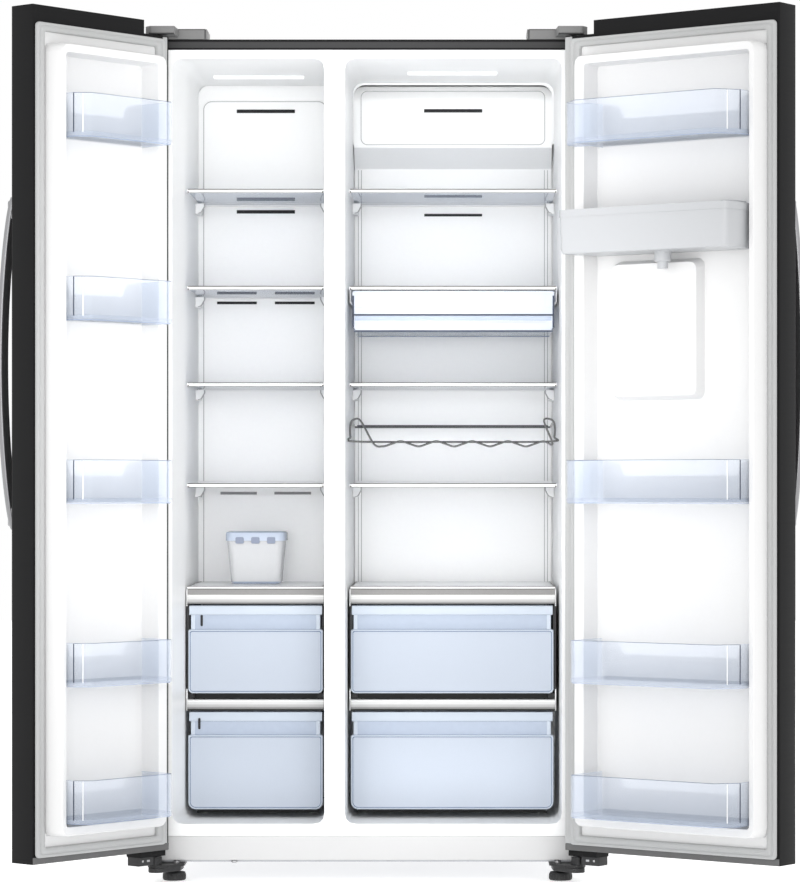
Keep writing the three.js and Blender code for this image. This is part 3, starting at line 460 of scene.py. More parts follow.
def lower_hinge(node):
    """The bracket, a rounded arm under it that holds the foot, and its bright bolt heads."""
    refine(node, black_steel, bevel=0.9, segments=3)
    x, _, (z0, _) = ROOM.spans(node)
    side = 1 if middle(x) > 0 else -1
    arm = rounded([(side * a, b, r) for a, b, r in (
        (453, -48, 12), (432, -58, 10), (388, -6, 12), (385, 46, 8), (430, 46, 8), (453, -12, 8))], 6)
    Shape().prism(arm, (z0 - 10.5, z0 - 0.3)).make(
        node + "_arm", ROOM, black_plastic, "bracket_black", bevel=1.2)
    bolts = Shape()
    for a, b in ((398, 6), (436, 30)):
        bolts.turned([(7, z0 + 5.4), (7, z0 + 8), (5.5, z0 + 9.6), (0.01, z0 + 9.8)], (side * a, b), 24)
    bolts.make(node + "_bolts", ROOM, screw_steel, "bracket_black")


def rear_details():
    """Screws round the rear panel, its upright ribs, and a rib below and above its vents."""
    (x0, x1), (_, y1), (z0, z1) = ROOM.spans("back_panel")
    shape = Shape()
    for x in (x0 + 14, middle((x0, x1)), x1 - 14):
        for z in (z0 + 14, 300, 700, 1100, 1500, z1 - 14):
            shape.round_bar(4.5, (x, z), (y1 - 0.5, y1 + 1.2), "y")
    shape.make("rear_screws", ROOM, screw_steel, "galvanised", bevel=0.4)
    ribs = Shape()
    for x in range(-330, 331, 132):
        ribs.prism(rectangle((x - 9, x + 9), (420, 1640), 9), (y1 - 0.6, y1 + 1.6), "y")
    for z in (92, 268):
        ribs.prism(rectangle((x0 + 40, x1 - 40), (z - 5, z + 5), 5), (y1 - 0.6, y1 + 1.6), "y")
    ribs.make("rear_ribs", ROOM, galvanised, "galvanised", bevel=0.9)


# ---------------------------------------------------------------- shelves
def shelf(node):
    """Tempered pane with dark ground edges, a white front trim and end lugs."""
    x, (y0, y1), (_, top) = ROOM.spans(node)
    top -= 6  # the rear trim stands above the pane
    pane = Shape().box(grow(x, -1.5), (y0 + 2, y1 - 2), (top - 5, top - 0.6))
    pane.make(node + "_pane", ROOM, glass, "shelf_glass", bevel=0.4, replaces=(node,))
    trim = Shape()
    nose = rounded([(y0, top - 7.5, 2), (y0 + 12, top - 7.5, 1), (y0 + 12, top - 5.2, 0.5),
                    (y0 + 4, top - 5.2, 0.5), (y0 + 4, top - 0.2, 0.5), (y0, top, 1.5)], 4)
    trim.prism(nose, x, "x")
    rear = rounded([(y1 - 10, top - 7.5, 1), (y1, top - 7.5, 1), (y1, top + 6, 1.5),
                    (y1 - 3, top + 6, 1.5), (y1 - 3, top, 0.5), (y1 - 10, top, 1)], 4)
    trim.prism(rear, x, "x")
    trim.make(node + "_trim", ROOM, face_white, "shelf_glass", bevel=0.3)
    lines = Shape()
    for z, thick in ((top - 0.4, 1.0), (top - 7.4, 0.45)):
        lines.box(grow(x, -1.5), (y0 - 0.3, y0 + 1.2), (z - thick, z + thick))
    for end in (x[0] + 2.5, x[1] - 2.5):
        lines.round_bar(1.6, (end, top - 5.6), (y0 - 0.4, y0 + 2), "y", 14)
    lines.make(node + "_edges", ROOM, glass_edge, "shelf_glass")
    # Each lug has a grey crescent beside it, a painted shadow gap.
    lugs, gaps = Shape(), Shape()
    for end, inward in ends(grow(x, 1)):
        lugs.prism(lug_outline(end, inward, top - 8, 0), (y1 - 91, y1 - 85), "y")
        gaps.prism(lug_outline(end + inward * 2.2, inward, top - 8, 0.8), (y1 - 88, y1 - 85.5), "y")
    lugs.make(node + "_lugs", ROOM, white, "shelf_glass", bevel=0.6)
    gaps.make(node + "_lug_shadows", ROOM, seam_shadow_grey, "shelf_glass")


def lug_outline(end, inward, top, by):
    """A quarter-round bracket against a side wall."""
    width, drop = 17 + by, 22 + by
    return rounded([(end, top, 0.5), (end + inward * width, top, 0.5), (end + inward * width, top - 6, 4),
                    (end + inward * width * 0.6, top - drop * 0.85, 7), (end, top - drop, 3)], 6)


def deli_rails(node):
    """The two rails that the deli drawer hangs from."""
    x, _, (low, _) = ROOM.spans(node)
    length = (140, 380)
    rails = Shape()
    for end, inward in ends(x):
        rails.box(sorted((end, end + inward * 2)), length, (low, low + 30))
        rails.box(sorted((end, end + inward * 5)), length, (low, low + 3))
    rails.make(node + "_rails", ROOM, white, "shelf_glass", bevel=0.5)


def drawer_frame(room):
    """Glass cover with a dark line along its front, over two satin bars banded in painted shade, white
    cheeks, black slides and a recess painted grey as shade.
    """
    node = f"{room}_drawer_frame"
    (x0, x1), (y0, y1), (z0, top) = ROOM.spans(node)
    inner = (x0 + 2.2, x1 - 2.2)
    pane = Shape().box(grow(inner, -0.3), (y0 + 1, y1), (top - 5.5, top))
    pane.make(node + "_pane", ROOM, cover_glass, "shelf_glass", bevel=0.5, replaces=(node,))
    lines = Shape()
    for z in (top - 0.4, top - 5.6):
        lines.box(inner, (y0 + 0.2, y0 + 1.4), (z - 0.7, z + 0.7))
    for end, inward in ends(inner):
        lines.box(sorted((end + inward, end + inward * 5)), (y0 + 3, y1 - 4), (top - 0.2, top + 0.5))
    lines.make(node + "_edges", ROOM, glass_edge, "shelf_glass")
    lower, upper = (z0, z0 + 24), (top - 39, top - 18)
    bars = Shape()
    for low, high in (lower, upper):
        nose = rounded([(y0, low + 1, 3), (y0 + 22, low, 1), (y0 + 22, high, 1), (y0 + 1, high, 4)], 6)
        # The bar's profile is cut into bands, each painted a darker shade lower down.
        steps = [high, high - 5, high - 10, high - 15, high - 19, low]
        for tone, (above, below) in enumerate(zip(steps, steps[1:])):
            band = [(a, min(max(b, below), above)) for a, b in nose]
            bars.prism(band, grow(inner, -0.4), "x", mark=tone)
    bars.make(node + "_bars", ROOM, bar_painted_shade_finishes, "trim_satin")
    # Black slides behind the lower bar, in the gaps beside the drawer and at the cheeks: slide parts that are
    # also painted shade for those gaps.
    cross = Shape().box(grow(inner, -1), (y0 + 46, y0 + 49), (z0 + 24.5, z0 + 36))
    gap = (z0 + 47, upper[0] - 4)
    for a, b in ((x0, inner[0] + 4.4), (inner[1] - 4.4, x1)):
        cross.box((a, b), (y0 + 12, y1 - 20), gap)
    for a, b in ((inner[0], inner[0] + 14), (inner[1] - 14, inner[1])):
        cross.box((a, b), (y0 + 24, y1 - 6), (z0 + 24.5, z0 + 37))
    cross.make(node + "_slides_and_shade", ROOM, black_plastic, "trim_satin", bevel=0.3)
    sides = Shape()
    for a, b in ((x0, inner[0]), (inner[1], x1)):
        for span in ((z0, gap[0] - 0.5), (gap[1] + 0.5, top - 6)):
            sides.box((a, b), (y0 + 8, y1 - 6), span)
    sides.make(node + "_cheeks", ROOM, white, "trim_satin", bevel=0.6)
    # The recess behind the upper bar is a grey sheet painted as shade.
    recess = Shape().box(inner, (y0 + 10, y0 + 14), (upper[1] - 2, top - 6))
    recess.make(node + "_recess", ROOM, recess_painted_shade, "trim_satin", bevel=0.5)


# ---------------------------------------------------------------- drawers
def tub(outline_at, heights, wall, side_mark=None, rise=None):
    """A thin-walled container: outlines out and up, over the rim, and down the inside.

    Its foot and rim are marked 1, and rise gives a rim that isn't level."""
    bottom, top = heights
    lift = rise or (lambda a, b: top)
    rings = [
        [(a, b, bottom) for a, b in outline_at(3.0)],
        [(a, b, bottom + 2.5) for a, b in outline_at(1.0)],
        [(a, b, bottom + 8) for a, b in outline_at(0.6)],
        [(a, b, lift(a, b) - 0.7) for a, b in outline_at(0.0)],
        [(a, b, lift(a, b)) for a, b in outline_at(0.5)],
        [(a, b, lift(a, b)) for a, b in outline_at(wall - 0.5)],
        [(a, b, lift(a, b) - 0.7) for a, b in outline_at(wall)],
        [(a, b, bottom + 9) for a, b in outline_at(wall + 0.6)],
        [(a, b, bottom + wall + 1) for a, b in outline_at(wall + 1.4)],
        [(a, b, bottom + wall) for a, b in outline_at(wall + 3.5)],
    ]
    return Shape().stack(rings, band_marks={0: 1, 3: 1, 4: 1, 5: 1}, side_mark=side_mark)


def drawer(room, level):
    """A see-through tub behind a frosted front whose raised border is painted as a highlight, with a grip
    recess above it.
    """
    node = f"{room}_drawer_{level}"
    (x0, x1), (y0, y1), (z0, z1) = ROOM.spans(node)
    place = riding(ROOM, node + "_body")
    lip = z1 - (51 if level == "upper" else 49)
    corner = 8 if level == "upper" else 16
    front = y0 + 3.4

    def outline(by):
        return rectangle((x0 + 3.4 + by, x1 - 3.4 - by), (front + by, y1 - by), max(11 - by, 2), 6)
    shape = tub(outline, (z0 + 1, z1), 3.0)
    shape.make(node + "_tub", place, [clear_blue, blue_rim_refraction], "drawer_frosted", replaces=(node,))

    def face(by):
        low = corner - by if level == "lower" else 10 - by
        return rounded([(x0 + by, z0 + by, low), (x1 - by, z0 + by, low),
                        (x1 - by, lip - by, 4), (x0 + by, lip - by, 4)], 8)
    rings = [[(a, y, b) for a, b in face(by)] for by, y in (
        (0.0, y0 + 5.8), (0.0, y0 + 2.0), (0.8, y0 + 0.6), (2.0, y0), (3.4, y0 + 0.5),
        (5.0, y0 + 1.7), (9.0, y0 + 2.1))]
    # Bands 1 to 3, the raised border, take the painted highlight; band 4, the outer edge, the dark refraction
    # line.
    panel = Shape().stack(rings, 0, {1: 1, 2: 1, 3: 1, 4: 2})
    panel.make(node + "_front", place, [frosted, frosted_highlight, blue_edge_refraction], "drawer_frosted")
    rim_foot = z1 - 20
    # The rim is painted in the highlight copy of the frosted finish.
    rim = Shape()
    rim.prism(rounded([(y0 + 3, rim_foot, 1), (y0 + 5, rim_foot, 1), (y0 + 5, z1 - 2, 1),
                       (y0 + 13, z1 - 2, 1), (y0 + 13, z1, 1), (y0 + 3, z1, 2)], 3), (x0 + 2, x1 - 2), "x")
    for a in (x0 + 6, x1 - 14):
        rim.box((a, a + 8), (y0 + 2.2, y0 + 4.8), (lip, rim_foot))
    rim.make(node + "_rim", place, frosted_highlight, "drawer_frosted", bevel=0.4)
    grip = Shape().prism(rectangle((y0 + 2.6, y0 + 4.4), (lip - 1, rim_foot), 0.5, 2), (x0 + 6, x1 - 6), "x")
    grip.make(node + "_grip", place, grip_blue, "drawer_frosted")
    line = Shape().box((x0 + 5, x1 - 5), (y0 + 1.6, y0 + 2.8), (lip - 1.2, lip + 0.4))
    line.make(node + "_lines", place, blue_edge_refraction, "drawer_frosted")
    if level == "lower":
        # A black bar under the lower drawer, painted shade for the gap beneath it.
        under_drawer_shade = Shape().box((x0 + 12, x1 - 12), (y0 + 92, y0 + 96), (z0 - 15.5, z0 - 0.6))
        under_drawer_shade.make(node + "_sill", ROOM, black_plastic, "foot_black", bevel=0.3)
    # The slot on a freezer drawer front is painted dark as shade.
    if room == "freezer":
        left, top = (x0 + 26, z1 - 20) if level == "upper" else (x0 + 21, z1 - 13)
        slot = Shape().prism(rectangle((left, left + 5), (top - 24, top), 2.4), (y0 + 1.2, y0 + 3.0), "y")
        slot.make(node + "_slot", place, slot_shade_dark, "drawer_frosted")


def deli_drawer():
    """A clear tray hung under the second shelf, with a pale front above a see-through lower half."""
    node = "deli_drawer"
    (x0, x1), (y0, y1), (z0, z1) = ROOM.spans(node)
    place = riding(ROOM, node + "_body")
    x, front, wall_top = (x0 + 3.6, x1 - 3.6), y0 + 2, z0 + 66

    def outline(by):
        return rectangle(grow(x, -by), (front + by, y1 - by), max(9 - by, 2), 6)
    shape = tub(outline, (z0, wall_top), 2.5)
    shape.make(node + "_tub", place, [clear_blue, blue_edge_refraction], "bin_clear", replaces=(node,))
    flange = Shape()
    for a in ((x0, x0 + 5), (x1 - 5, x1)):
        flange.box(a, (y0 + 6, y1), (wall_top - 1.5, wall_top + 1))
    flange.make(node + "_flange", place, clear_blue, "bin_clear", bevel=0.4)
    seam = z0 + 36
    panel = Shape().prism(rectangle(grow(x, 1.2), (seam, z1), 4), (y0, y0 + 3), "y")
    panel.make(node + "_front", place, deli_pale, "bin_clear", bevel=0.9, segments=3)
    chamfered = rounded([(x[0] + 5, z0 + 1, 2), (x[1] - 5, z0 + 1, 2), (x[1] - 0.5, z0 + 8, 3),
                         (x[1] - 0.5, seam, 1), (x[0] + 0.5, seam, 1), (x[0] + 0.5, z0 + 8, 3)], 5)
    lower = Shape().prism(chamfered, (y0 + 1.0, y0 + 2.2), "y")
    lower.make(node + "_lower_front", place, deli_pale, "bin_clear")
    # Navy lines along the seam, the foot and the ends are painted dark refraction.
    lines = Shape()
    lines.box(grow(x, -1), (y0 - 0.6, y0 + 1), (seam - 1.6, seam + 1.9))
    lines.box(grow(x, -6), (y0 + 0.2, y0 + 1.6), (z0 + 0.2, z0 + 3.6))
    for end, inward in ends(x):
        edge = [(end + inward * a, z0 + b) for a, b in ((0, 8), (4.5, 1), (6.5, 1), (2, 9))]
        lines.prism(edge, (y0 + 0.4, y0 + 2), "y")
        lines.box(sorted((end - inward * 1.6, end + inward * 2.4)), (y0 - 0.5, y0 + 2), (z0 + 9, z1 - 10))
    lines.make(node + "_lines", place, navy_refraction, "bin_clear")
    band = Shape().box(grow(x, -4), (y0 + 0.4, y0 + 1.4), (seam - 12, seam - 2))
    band.make(node + "_band", place, blue_rim_refraction, "bin_clear")
    hair = Shape().box(grow(x, -16), (y0 + 0.3, y0 + 1.3), (z0 + 20.4, z0 + 21.4))
    hair.make(node + "_hairline", place, seam_shadow_grey, "bin_clear")
    tabs = Shape()
    for a in (grow((x[0] + 12, x[0] + 12), 10), grow((x[1] - 10, x[1] - 10), 8)):
        tabs.prism(rectangle(a, (z0 + 52, z0 + 80), 3), (y0 - 0.6, y0 + 2), "y")
    tabs.make(node + "_tabs", place, deli_pale, "bin_clear", bevel=0.5)


# ---------------------------------------------------------------- wire rack and ice box
def wine_rack():
    """One bent wire: end loops, a wavy front rail and a straight rail, with side and rear wires."""
    node = "wine_rack"
    (x0, x1), (y0, y1), (_, z1) = ROOM.spans(node)
    wire = 2.1
    left, right = x0 + wire, x1 - wire
    centre = middle((left, right))
    front, rear = y0 + wire + 1, y1 - wire
    low, high = z1 - wire - 49, z1 - wire
    troughs, pitch, first, half = 5, 76, 30, 5.5  # of the wavy rail, whose wave is 11 mm high
    wave = []
    for i in range(troughs * 4 + 1):
        wave.append((first - pitch / 4 + i * pitch / 4, front, low - 3 - half * math.sin(math.pi / 2 * i)))
    loop = [(left + 22, front, high - 4), (left + 8, front, high), (left, front, high - 10),
            (left, front, low + 12), (left + 10, front + 3, low + 2), (centre, front + 6, low + 1),
            (right - 10, front + 3, low + 2), (right, front, low + 12), (right, front, high - 10),
            (right - 8, front, high), (right - 22, front, high - 4)]
    shape = Shape()
    shape.wire(smooth_path(loop + wave[::-1], 8, closed=True), wire, closed=True)
    straight = 956
    shape.wire([(left, rear, straight), (centre, rear, straight), (right, rear, straight)], wire)
    shape.wire([(left + 6, rear - 9, straight + 3), (right - 6, rear - 9, straight + 3)], wire * 0.8)
    for x in (left, right):
        shape.wire(smooth_path([(x, front, high - 12), (x, 280, 962), (x, rear, straight)], 8), wire)
    shape.make(node + "_wires", ROOM, chrome, "wire_chrome", smooth=70, replaces=(node,))


def ice_box():
    """A milky tapered tub with a thin rim under a snap-on lid with three clips."""
    node = "ice_box"
    (x0, x1), (y0, y1), (z0, z1) = ROOM.spans(node)
    place = riding(ROOM, node + "_body")
    centre = (middle((x0, x1)), middle((y0, y1)))
    half = ((x1 - x0) / 2, (y1 - y0) / 2)

    def ring(t, by, z):
        shrink = 9 * (1 - t) + by
        return [(a, b, z) for a, b in rectangle((centre[0] - half[0] + shrink, centre[0] + half[0] - shrink),
                                                (centre[1] - half[1] + shrink, centre[1] + half[1] - shrink),
                                                14, 8)]
    height = z1 - z0
    levels = [(0.0, 5, 0), (0.05, 2, 1.5), (0.12, 0, 6), (0.5, 0, height * 0.5), (0.97, 0, height - 3),
              (1.0, 0, height), (1.0, 2.2, height), (0.5, 2.2, height * 0.5), (0.12, 2.4, 7), (0.0, 7, 3)]
    rings = [ring(t, by, z0 + z) for t, by, z in levels]
    Shape().stack(rings, 0, {0: 1, 1: 1, 4: 1, 5: 1}).make(
        node + "_tub", place, [milky, blue_rim_refraction], "bin_clear", replaces=(node,))
    lid = riding(ROOM, "ice_box_lid_body")
    lid_x, lid_y, (low, top) = ROOM.spans("ice_box_lid")
    cap = [(0.0, low), (0.0, top - 3.5), (1.0, top - 1.2), (3.5, top), (9, top), (10.5, top - 1.6),
           (12, top - 1.8)]
    profile = [(2.2, top - 11, 14), (2.2, low, 14), *((by, z, 16 - by) for by, z in cap)]
    rings = [[(a, b, z) for a, b in rectangle(grow(lid_x, -by), grow(lid_y, -by), r, 8)]
             for by, z, r in profile]
    Shape().stack(rings).make("ice_box_lid_cap", lid, lid_blue, "lid_blue", replaces=("ice_box_lid",))
    clips = Shape()
    for dx in (-34, 0, 34):
        clips.prism(rectangle((centre[0] + dx - 9, centre[0] + dx + 9), (low - 6, low + 8), 3),
                    (lid_y[0] - 1.2, lid_y[0] + 1.0), "y")
    clips.make("ice_box_lid_clips", lid, clip_blue, "lid_blue", bevel=0.5)


# ---------------------------------------------------------------- air ducts and lamps
def ducts():
    """The air panels, and the grilles behind their slots, painted dark as the shade inside the ducts, paler
    behind the lower freezer slots.
    """
    refine("freezer_air_duct", white, bevel=1.1, segments=3)
    refine("fridge_air_duct", white, bevel=1.1, segments=3)
    slots = (  # each slot's X span, foot, height and the Y of its grille
        ("freezer", slot_shade_dark, [((-303, -173), 1657, 8, 491), ((-303, -173), 1433, 8, 491),
                                ((-347, -258), 1231, 6, 491), ((-218, -129), 1231, 6, 491)]),
        ("freezer_low", slot_shade_pale, [((-339, -258), 807, 6, 491), ((-219, -137), 807, 6, 491)]),
        ("fridge", slot_shade_dark, [((115, 244), 1652, 8, 433.5), ((115, 244), 1427, 6, 494.5)]),
    )
    gaps = 9  # between the bars of one slot
    for name, material, rows in slots:
        shape = Shape()
        for x, z, height, y in rows:
            shape.box(grow(x, 2), (y, y + 1), (z - 2, z + height + 2))
            for i in range(1, gaps):
                a = x[0] + (x[1] - x[0]) * i / gaps
                shape.box((a - 0.8, a + 0.8), (y - 3, y + 0.5), (z - 1, z + height + 1))
        shape.make(f"{name}_duct_grilles", ROOM, material, "liner_white")


def bead(name, outline, inset_outline, y, material):
    """A thin raised line that follows an outline on a panel facing the door."""
    rings = [[(a, y, b) for a, b in outline], [(a, y - 0.9, b) for a, b in outline],
             [(a, y - 0.9, b) for a, b in inset_outline], [(a, y, b) for a, b in inset_outline]]
    Shape().stack(rings, loop=True).make(name, ROOM, material, "liner_white", smooth=50)


def duct_flanges():
    """Fillers that close the gap between each air panel and the liner round it."""
    def arch(x, z, r):
        return rounded([(x[0], z[0], 0), (x[0], z[1], r), (x[1], z[1], r), (x[1], z[0], 0)], 8)
    for room, x, gap, y, low, high in (("freezer", (-388.2, -91.1), (1.9, 1.5), (488, 489.6), 336, 1713.8),
                                       ("fridge", (-42.2, 402.6), (2.4, 4.9), (432, 434), 1582, 1713.1)):
        outer = arch(x, (low, 1718.3), 23)
        inner = arch((x[0] + gap[0], x[1] - gap[1]), (low, high), 24)
        Shape().prism(outer + inner[::-1], y, "y").make(f"{room}_duct_flange", ROOM, white, "liner_white")


def panel_seams():
    """The fine shadow lines that show where the air panels and the front frame meet the liner."""
    for room, y, height, corner, inset in (("freezer", 485.4, (338, 1683), 19, 9.5),
                                           ("fridge", 430.2, (1580, 1700), 15, 15)):
        x, _, _ = ROOM.spans(f"{room}_air_duct")
        at = [rectangle(grow(x, -inset - by), grow(height, -by), corner - by, 10) for by in (0, 1.6)]
        bead(f"{room}_duct_shadow_line", at[0], at[1], y, seam_shadow_grey)
    x, _, (low, _) = ROOM.spans("fridge_air_duct")
    channels = Shape()
    for end, inward in ends(x):
        for step in (8, 15):
            a = end + inward * step
            channels.box((a - 0.7, a + 0.7), (490.2, 491.4), (low + 6, 1530))
    channels.make("fridge_duct_channels", ROOM, seam_shadow_grey, "liner_white")
    mullion = Shape()
    for a in (-70.5, -47.8):
        mullion.box((a - 0.35, a + 0.35), (-0.25, 0.6), (96, 1736))
    mullion.make("front_frame_seams", ROOM, seam_shadow_grey, "liner_white")


def lamps():
    """The ceiling lamps, each in a thin white bezel."""
    for node in ("freezer_light", "fridge_light"):
        refine(node, lamp, bevel=0.8, segments=3)
        x, y, (_, top) = ROOM.spans(node)
        rings = [[(a, b, top - drop) for a, b in rectangle(grow(x, by), grow(y, by), 4, 5)] for by, drop in (
            (1.8, 0), (1.8, 0.8), (1.2, 1.4), (0.6, 1.4), (0.2, 0.8), (0.2, 0))]
        Shape().stack(rings, loop=True).make(node + "_bezel", ROOM, white, "lamp_white")


# ---------------------------------------------------------------- doors
def gasket(place, node):
    """A magnetic seal: an outer lip, a folded bellows and a flat magnet pocket, run round the door."""
    (u0, u1), (v0, v1), (z0, z1) = place.spans(node)
    inner_u = (u0 + 26, u1 - 21)
    inner_z = (z0 + 20.5, z1 - 18.5)
    section = [(0.02, 0.0), (0.0, 0.35), (0.03, 0.85), (0.08, 0.98), (0.3, 1.0), (0.34, 0.86), (0.4, 0.86),
               (0.44, 1.0), (0.9, 1.0), (0.95, 0.85), (0.98, 0.5), (1.0, 0.3), (0.99, 0.0)]
    rings = []
    for t, share in section:
        u = (u0 + (inner_u[0] - u0) * t, u1 + (inner_u[1] - u1) * t)
        z = (z0 + (inner_z[0] - z0) * t, z1 + (inner_z[1] - z1) * t)
        v = v0 + (v1 - v0) * share
        rings.append([(a, v, b) for a, b in rectangle(u, z, 8 - 3 * t, 4)])
    Shape().stack(rings, loop=True).make(node + "_profile", place, seal_grey, "gasket_grey", smooth=60,
                                        replaces=(node,))


def handle(place, node):
    """A bowed bar on two stand-offs, drawn with the CAD handle's rise and ends."""
    u_span, (_, mount), (z0, z1) = place.spans(node)
    u, rise, half_u, half_v = middle(u_span), 43, 12, 7
    steps = 72
    path = []
    for i in range(steps + 1):
        t = 0.004 + 0.992 * i / steps
        bow = rise * math.sin(math.pi * t) ** 0.6
        path.append((u, mount - half_v - 0.4 - bow, z0 + (z1 - z0) * t))
    section = [(b, a) for a, b in rectangle((-half_v, half_v), (-half_u, half_u), 5.5, 6)]
    bar = Shape().sweep(path, section, up=(0, 1, 0))
    bar.make(node + "_bow", place, handle_metal, "handle_metal", smooth=50, bevel=0.6, replaces=(node,))
    feet = Shape()
    for z in (z0 + 26, z1 - 26):
        feet.prism(rectangle((u - 9, u + 9), (z - 20, z + 20), 6), (mount - 26, mount), "y")
    feet.make(node + "_feet", place, handle_metal, "handle_metal", bevel=1.2, segments=3)


def bin_outline(corners):
    """The bin's plan with small corner arcs, shrunk by a distance along each corner's own direction."""
    def at(by):
        return rounded([(u + du * by, v + dv * by, max(r - by * 0.5, 0.8) if r else 0)
                        for u, v, r, du, dv in corners], 4)
    return at


def door_bin(place, node):
    """A clear bin with a tinted face, corner lines painted dark as refraction, a painted white glint and a
    back wall cut down in the middle.
    """
    (u0, u1), (v0, v1), (z0, z1) = place.spans(node)
    left = place is LEFT
    bulged = not left and u0 < 60
    chamfer_u, chamfer_v = (25, 28) if left else (33, 45)
    hinge_u = u0 if not bulged else u0 + 34
    back = [hinge_u + 4, hinge_u + 40, hinge_u + 54, u1 - 54, u1 - 40, u1 - 4]
    corners = [(hinge_u, v0, 2.5, 1, 1)]
    corners += [(u, v0, 0, 0, 1) for u in back]
    corners += [(u1, v0, 2.5, -1, 1), (u1, v1 - chamfer_v, 3, -1, -0.4), (u1 - chamfer_u, v1, 3, -0.4, -1)]
    if bulged:
        corners += [(u0 + 44, v1, 8, 0.6, -1), (u0, v1 - 34, 5, 1, -0.3), (u0, v0 + 48.7, 5, 1, 1),
                    (hinge_u, v0 + 48.7, 2, 1, 1)]
    else:
        corners += [(u0, v1, 6, 1, -1)]
    outline = bin_outline(corners)
    dip = (z1 - z0) * 0.36

    def rise(u, v):
        from_end = min(u - hinge_u, u1 - u)
        if v > v0 + 8 or from_end <= 38:
            return z1
        return z1 - dip * min((from_end - 38) / 14, 1)

    base = outline(0)

    def side_mark(i):
        middle_v = (base[i][1] + base[(i + 1) % len(base)][1]) / 2
        return 2 if middle_v < v0 + 3 else None
    shape = tub(outline, (z0, z1), 2.5, side_mark=side_mark, rise=rise)
    shape.make(node + "_tub", place, [bin_face, blue_rim_refraction, faint], "bin_clear", replaces=(node,))
    skirt = [[(a, b, z0 + z) for a, b in outline(by)]
             for by, z in ((0.2, 2.6), (-0.3, 3.2), (-0.3, 10.5), (0.2, 11.2))]
    Shape().stack(skirt).make(node + "_foot", place, bin_face, "bin_clear")
    # The dark corner and top lines are painted refraction.
    lines = Shape()
    for u, v, wide in ((u1 - 0.5, v0 + 1.5, 0.9), (u1 - 0.6, v1 - chamfer_v, 1.1)):
        lines.round_bar(wide, (u, v), (z0 + 9, z1 - 1), sides=10)
    top_line = [(a, b, z1 - 0.3) for a, b in outline(1.0) if b > v0 + 12]
    lines.wire(top_line, 0.55, sides=8)
    lines.make(node + "_lines", place, navy_refraction, "bin_clear")
    glint = Shape().round_bar(1.0, (u1 - chamfer_u * 0.5, v1 - chamfer_v * 0.5), (z0 + 9, z1 - 2), sides=10)
    glint.make(node + "_glint", place, face_white, "bin_clear")


def door(place, edge_start, bins):
    """What both doors have: panel, liner, edge trims, closer, seal, handle and bins."""
    name = place.body
    refine(f"{name}_panel", charcoal, bevel=0.8, segments=3)
    refine(f"{name}_liner", door_white_shaded, bevel=1.6, smooth=45, segments=3)
    door_edges(place, f"{name}_panel", edge_start)
    door_closer(place, name)
    gasket(place, f"{name}_gasket")
    handle(place, f"{name}_handle")
    for i in range(1, bins + 1):
        door_bin(place, f"{name}_bin_{i}")


def dispenser():
    """The water tank inside the fridge door and the paddle and panel in its outer face."""
    refine("water_tank", tank_white, bevel=1.2, segments=3)
    refine("water_tank_lid", tank_white, bevel=0.9, segments=3)
    refine("dispenser_paddle", black_plastic, bevel=0.8, segments=3)
    dispenser_panel()


def door_edges(place, node, edge_start):
    """The grey cap along the foot of a door and the plastic edge beside its seal."""
    (u0, u1), (_, v1), (z0, _) = place.spans(node)
    cap = Shape().box((u0 + 1, u1 - 1), (v1 - 2, v1 + 0.7), (z0 + 12.4, z0 + 26))
    cap.make(node + "_foot_cap", place, edge_cap_grey, "painted_steel", bevel=0.4)
    door_top = 1756
    edge = Shape().box((u0 + edge_start, u0 + 18), (v1 - 2, v1 + 1.4), (z0 + 26.5, door_top))
    edge.make(node + "_edge_strip", place, seal_grey, "gasket_grey", bevel=0.6)


def door_closer(place, body):
    """The black closer block under the hinge end of a door, with two small windows."""
    block = Shape().prism(rectangle((17, 62), (-20, 14), 3), (41, 59.5), "z")
    block.make(body + "_closer", place, black_plastic, "painted_steel", bevel=0.8)
    windows = Shape()
    for u, size in ((34, 4), (50, 2.2)):
        windows.box((u - size, u + size), (13.6, 14.4), (49, 53))
    windows.make(body + "_closer_windows", place, screw_steel, "painted_steel", bevel=0.2)


def dispenser_panel():
    """A dark surround and drip grille for the dispenser in the outer face of the door."""
    niche_u, niche_z, outer = (130, 320), (1010, 1265), -39
    rings = [[(a, v, b) for a, b in rectangle(grow(niche_u, by), (niche_z[0] - by, niche_z[1] + by), 6, 5)]
             for by, v in ((9, outer + 0.5), (9, outer - 1.2), (7.5, outer - 2.4), (1.5, outer - 2.4),
                           (0.0, outer - 1.2), (0.0, outer + 0.5))]
    Shape().stack(rings, loop=True).make(
        "dispenser_surround", RIGHT, black_plastic, "black_plastic", smooth=50)
    grille = Shape()
    for u in range(142, 310, 9):
        grille.box((u, u + 3), (outer + 7, 9), (niche_z[0] + 3.4, niche_z[0] + 5.6))
    grille.make("drip_grille", RIGHT, screw_steel, "black_plastic", bevel=0.4)


# ---------------------------------------------------------------- hidden works
def works():
    """The machine parts behind the air panels and in the base keep their CAD shape."""
    keep("evaporator", fins)
    keep("condenser", black_steel)
    keep("compressor", black_steel)
    keep("evaporator_fan", black_plastic)


# ---------------------------------------------------------------- stage, lights and camera
def area_light(name, place, target, size, power, spread=180):
    """A softbox, or with a narrower spread a lamp that stays out of glossy reflections."""
    light = bpy.data.lights.new(name, "AREA")
    light.shape = "RECTANGLE"
    light.spread = math.radians(spread)
    light.size, light.size_y = size
    light.energy = power
    lamp_object = bpy.data.objects.new(name, light)
    lamp_object.location = place
    lamp_object.rotation_euler = (Vector(target) - Vector(place)).to_track_quat("-Z", "Y").to_euler()
    lamp_object.visible_camera = False
    lamp_object.visible_glossy = spread == 180
    bpy.context.scene.collection.objects.link(lamp_object)


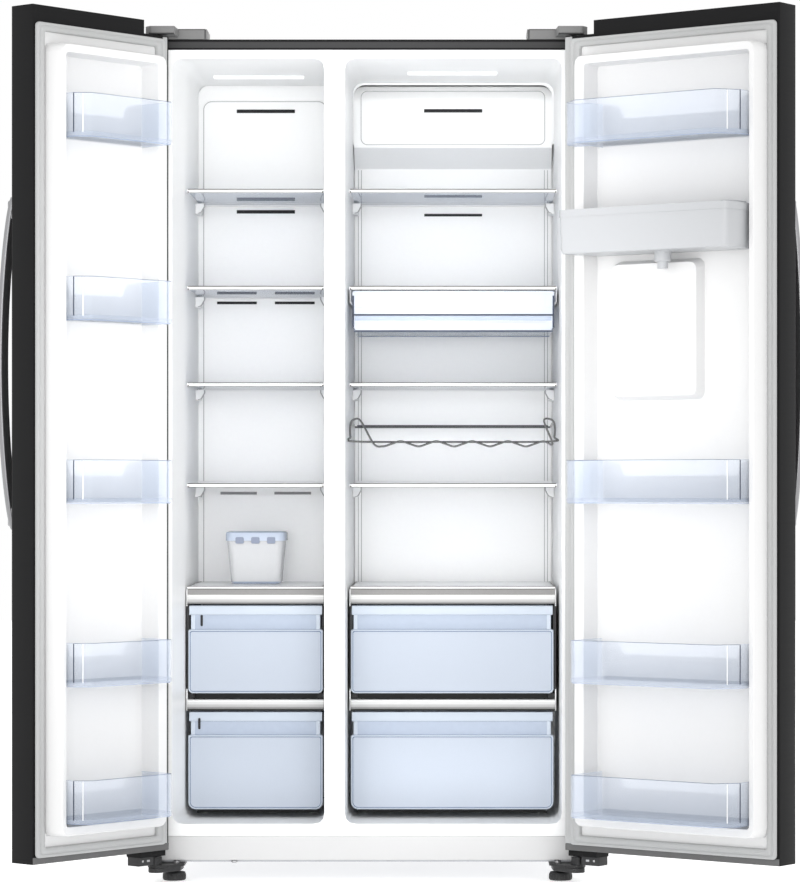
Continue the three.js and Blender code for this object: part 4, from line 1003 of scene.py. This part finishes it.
def studio():
    """A pale floor, a white world, two softboxes, and lamps that light the rooms and the drawers."""
    floor_finish = finish("studio_floor", (0.93, 0.93, 0.93), 0.7, scale=6, bump=0.0, vary=0.005, glow=0.55)
    reach = 14.0
    mesh = bpy.data.meshes.new("floor")
    mesh.from_pydata([(-reach, -reach, 0), (reach, -reach, 0), (reach, reach, 0), (-reach, reach, 0)], [],
                     [(0, 1, 2, 3)])
    mesh.materials.append(floor_finish)
    floor = bpy.data.objects.new("floor", mesh)
    floor.location.z = -0.0005
    bpy.context.scene.collection.objects.link(floor)
    world = bpy.data.worlds.new("studio_world")
    world.use_nodes = True
    world.node_tree.nodes["Background"].inputs["Color"].default_value = (1, 1, 1, 1)
    world.node_tree.nodes["Background"].inputs["Strength"].default_value = 1.0
    bpy.context.scene.world = world
    area_light("front_softbox", (0.1, -6.4, 1.15), (0.07, 0.2, 0.9), (2.6, 2.6), 40)
    area_light("rear_softbox", (0.1, 5.2, 2.6), (0.07, 0.4, 0.9), (4.0, 3.0), 60)
    back_wall = 500
    for name, (x, y, z), size, power, spread in (
            ("freezer_beam", (-248, -2600, 1180), (0.30, 1.1), 0.345, 14),
            ("fridge_beam", (180, -2600, 1180), (0.43, 1.1), 0.40, 14),
            ("freezer_low_beam", (-240, -900, 215), (0.26, 0.16), 0.022, 14),
            ("fridge_low_beam", (180, -900, 215), (0.39, 0.16), 0.07, 14),
            ("inside_fill", (-20, -900, 1100), (0.9, 1.3), 4.6, 120)):
        target = ROOM.matrix @ Vector((x, back_wall, z))
        area_light(name, ROOM.matrix @ Vector((x, y, z)), target, size, power, spread)
    bpy.context.scene.view_settings.view_transform = "Standard"


def camera():
    """Looks straight into the cabinet from a little right of its middle."""
    distance, aside, height = 7200, 183.7, 823.6
    data = bpy.data.cameras.new("camera")
    data.sensor_width = 36
    data.lens = 140.77
    data.shift_x, data.shift_y = -0.0624, 0.0522
    data.clip_end = 60
    view = bpy.data.objects.new("camera", data)
    view.location = ROOM.matrix @ Vector((aside, -distance, height))
    view.rotation_euler = (math.radians(90), 0, 0)
    bpy.context.scene.collection.objects.link(view)
    bpy.context.scene.camera = view


camera()
studio()
cabinet()
ducts()
duct_flanges()
panel_seams()
lamps()
for number in range(1, 5):
    shelf(f"freezer_shelf_{number}")
    shelf(f"fridge_shelf_{number}")
deli_rails("fridge_shelf_2")
for compartment in ("freezer", "fridge"):
    drawer_frame(compartment)
    for height_name in ("upper", "lower"):
        drawer(compartment, height_name)
deli_drawer()
wine_rack()
ice_box()
door(LEFT, edge_start=6, bins=5)
door(RIGHT, edge_start=1, bins=4)
dispenser()
works()
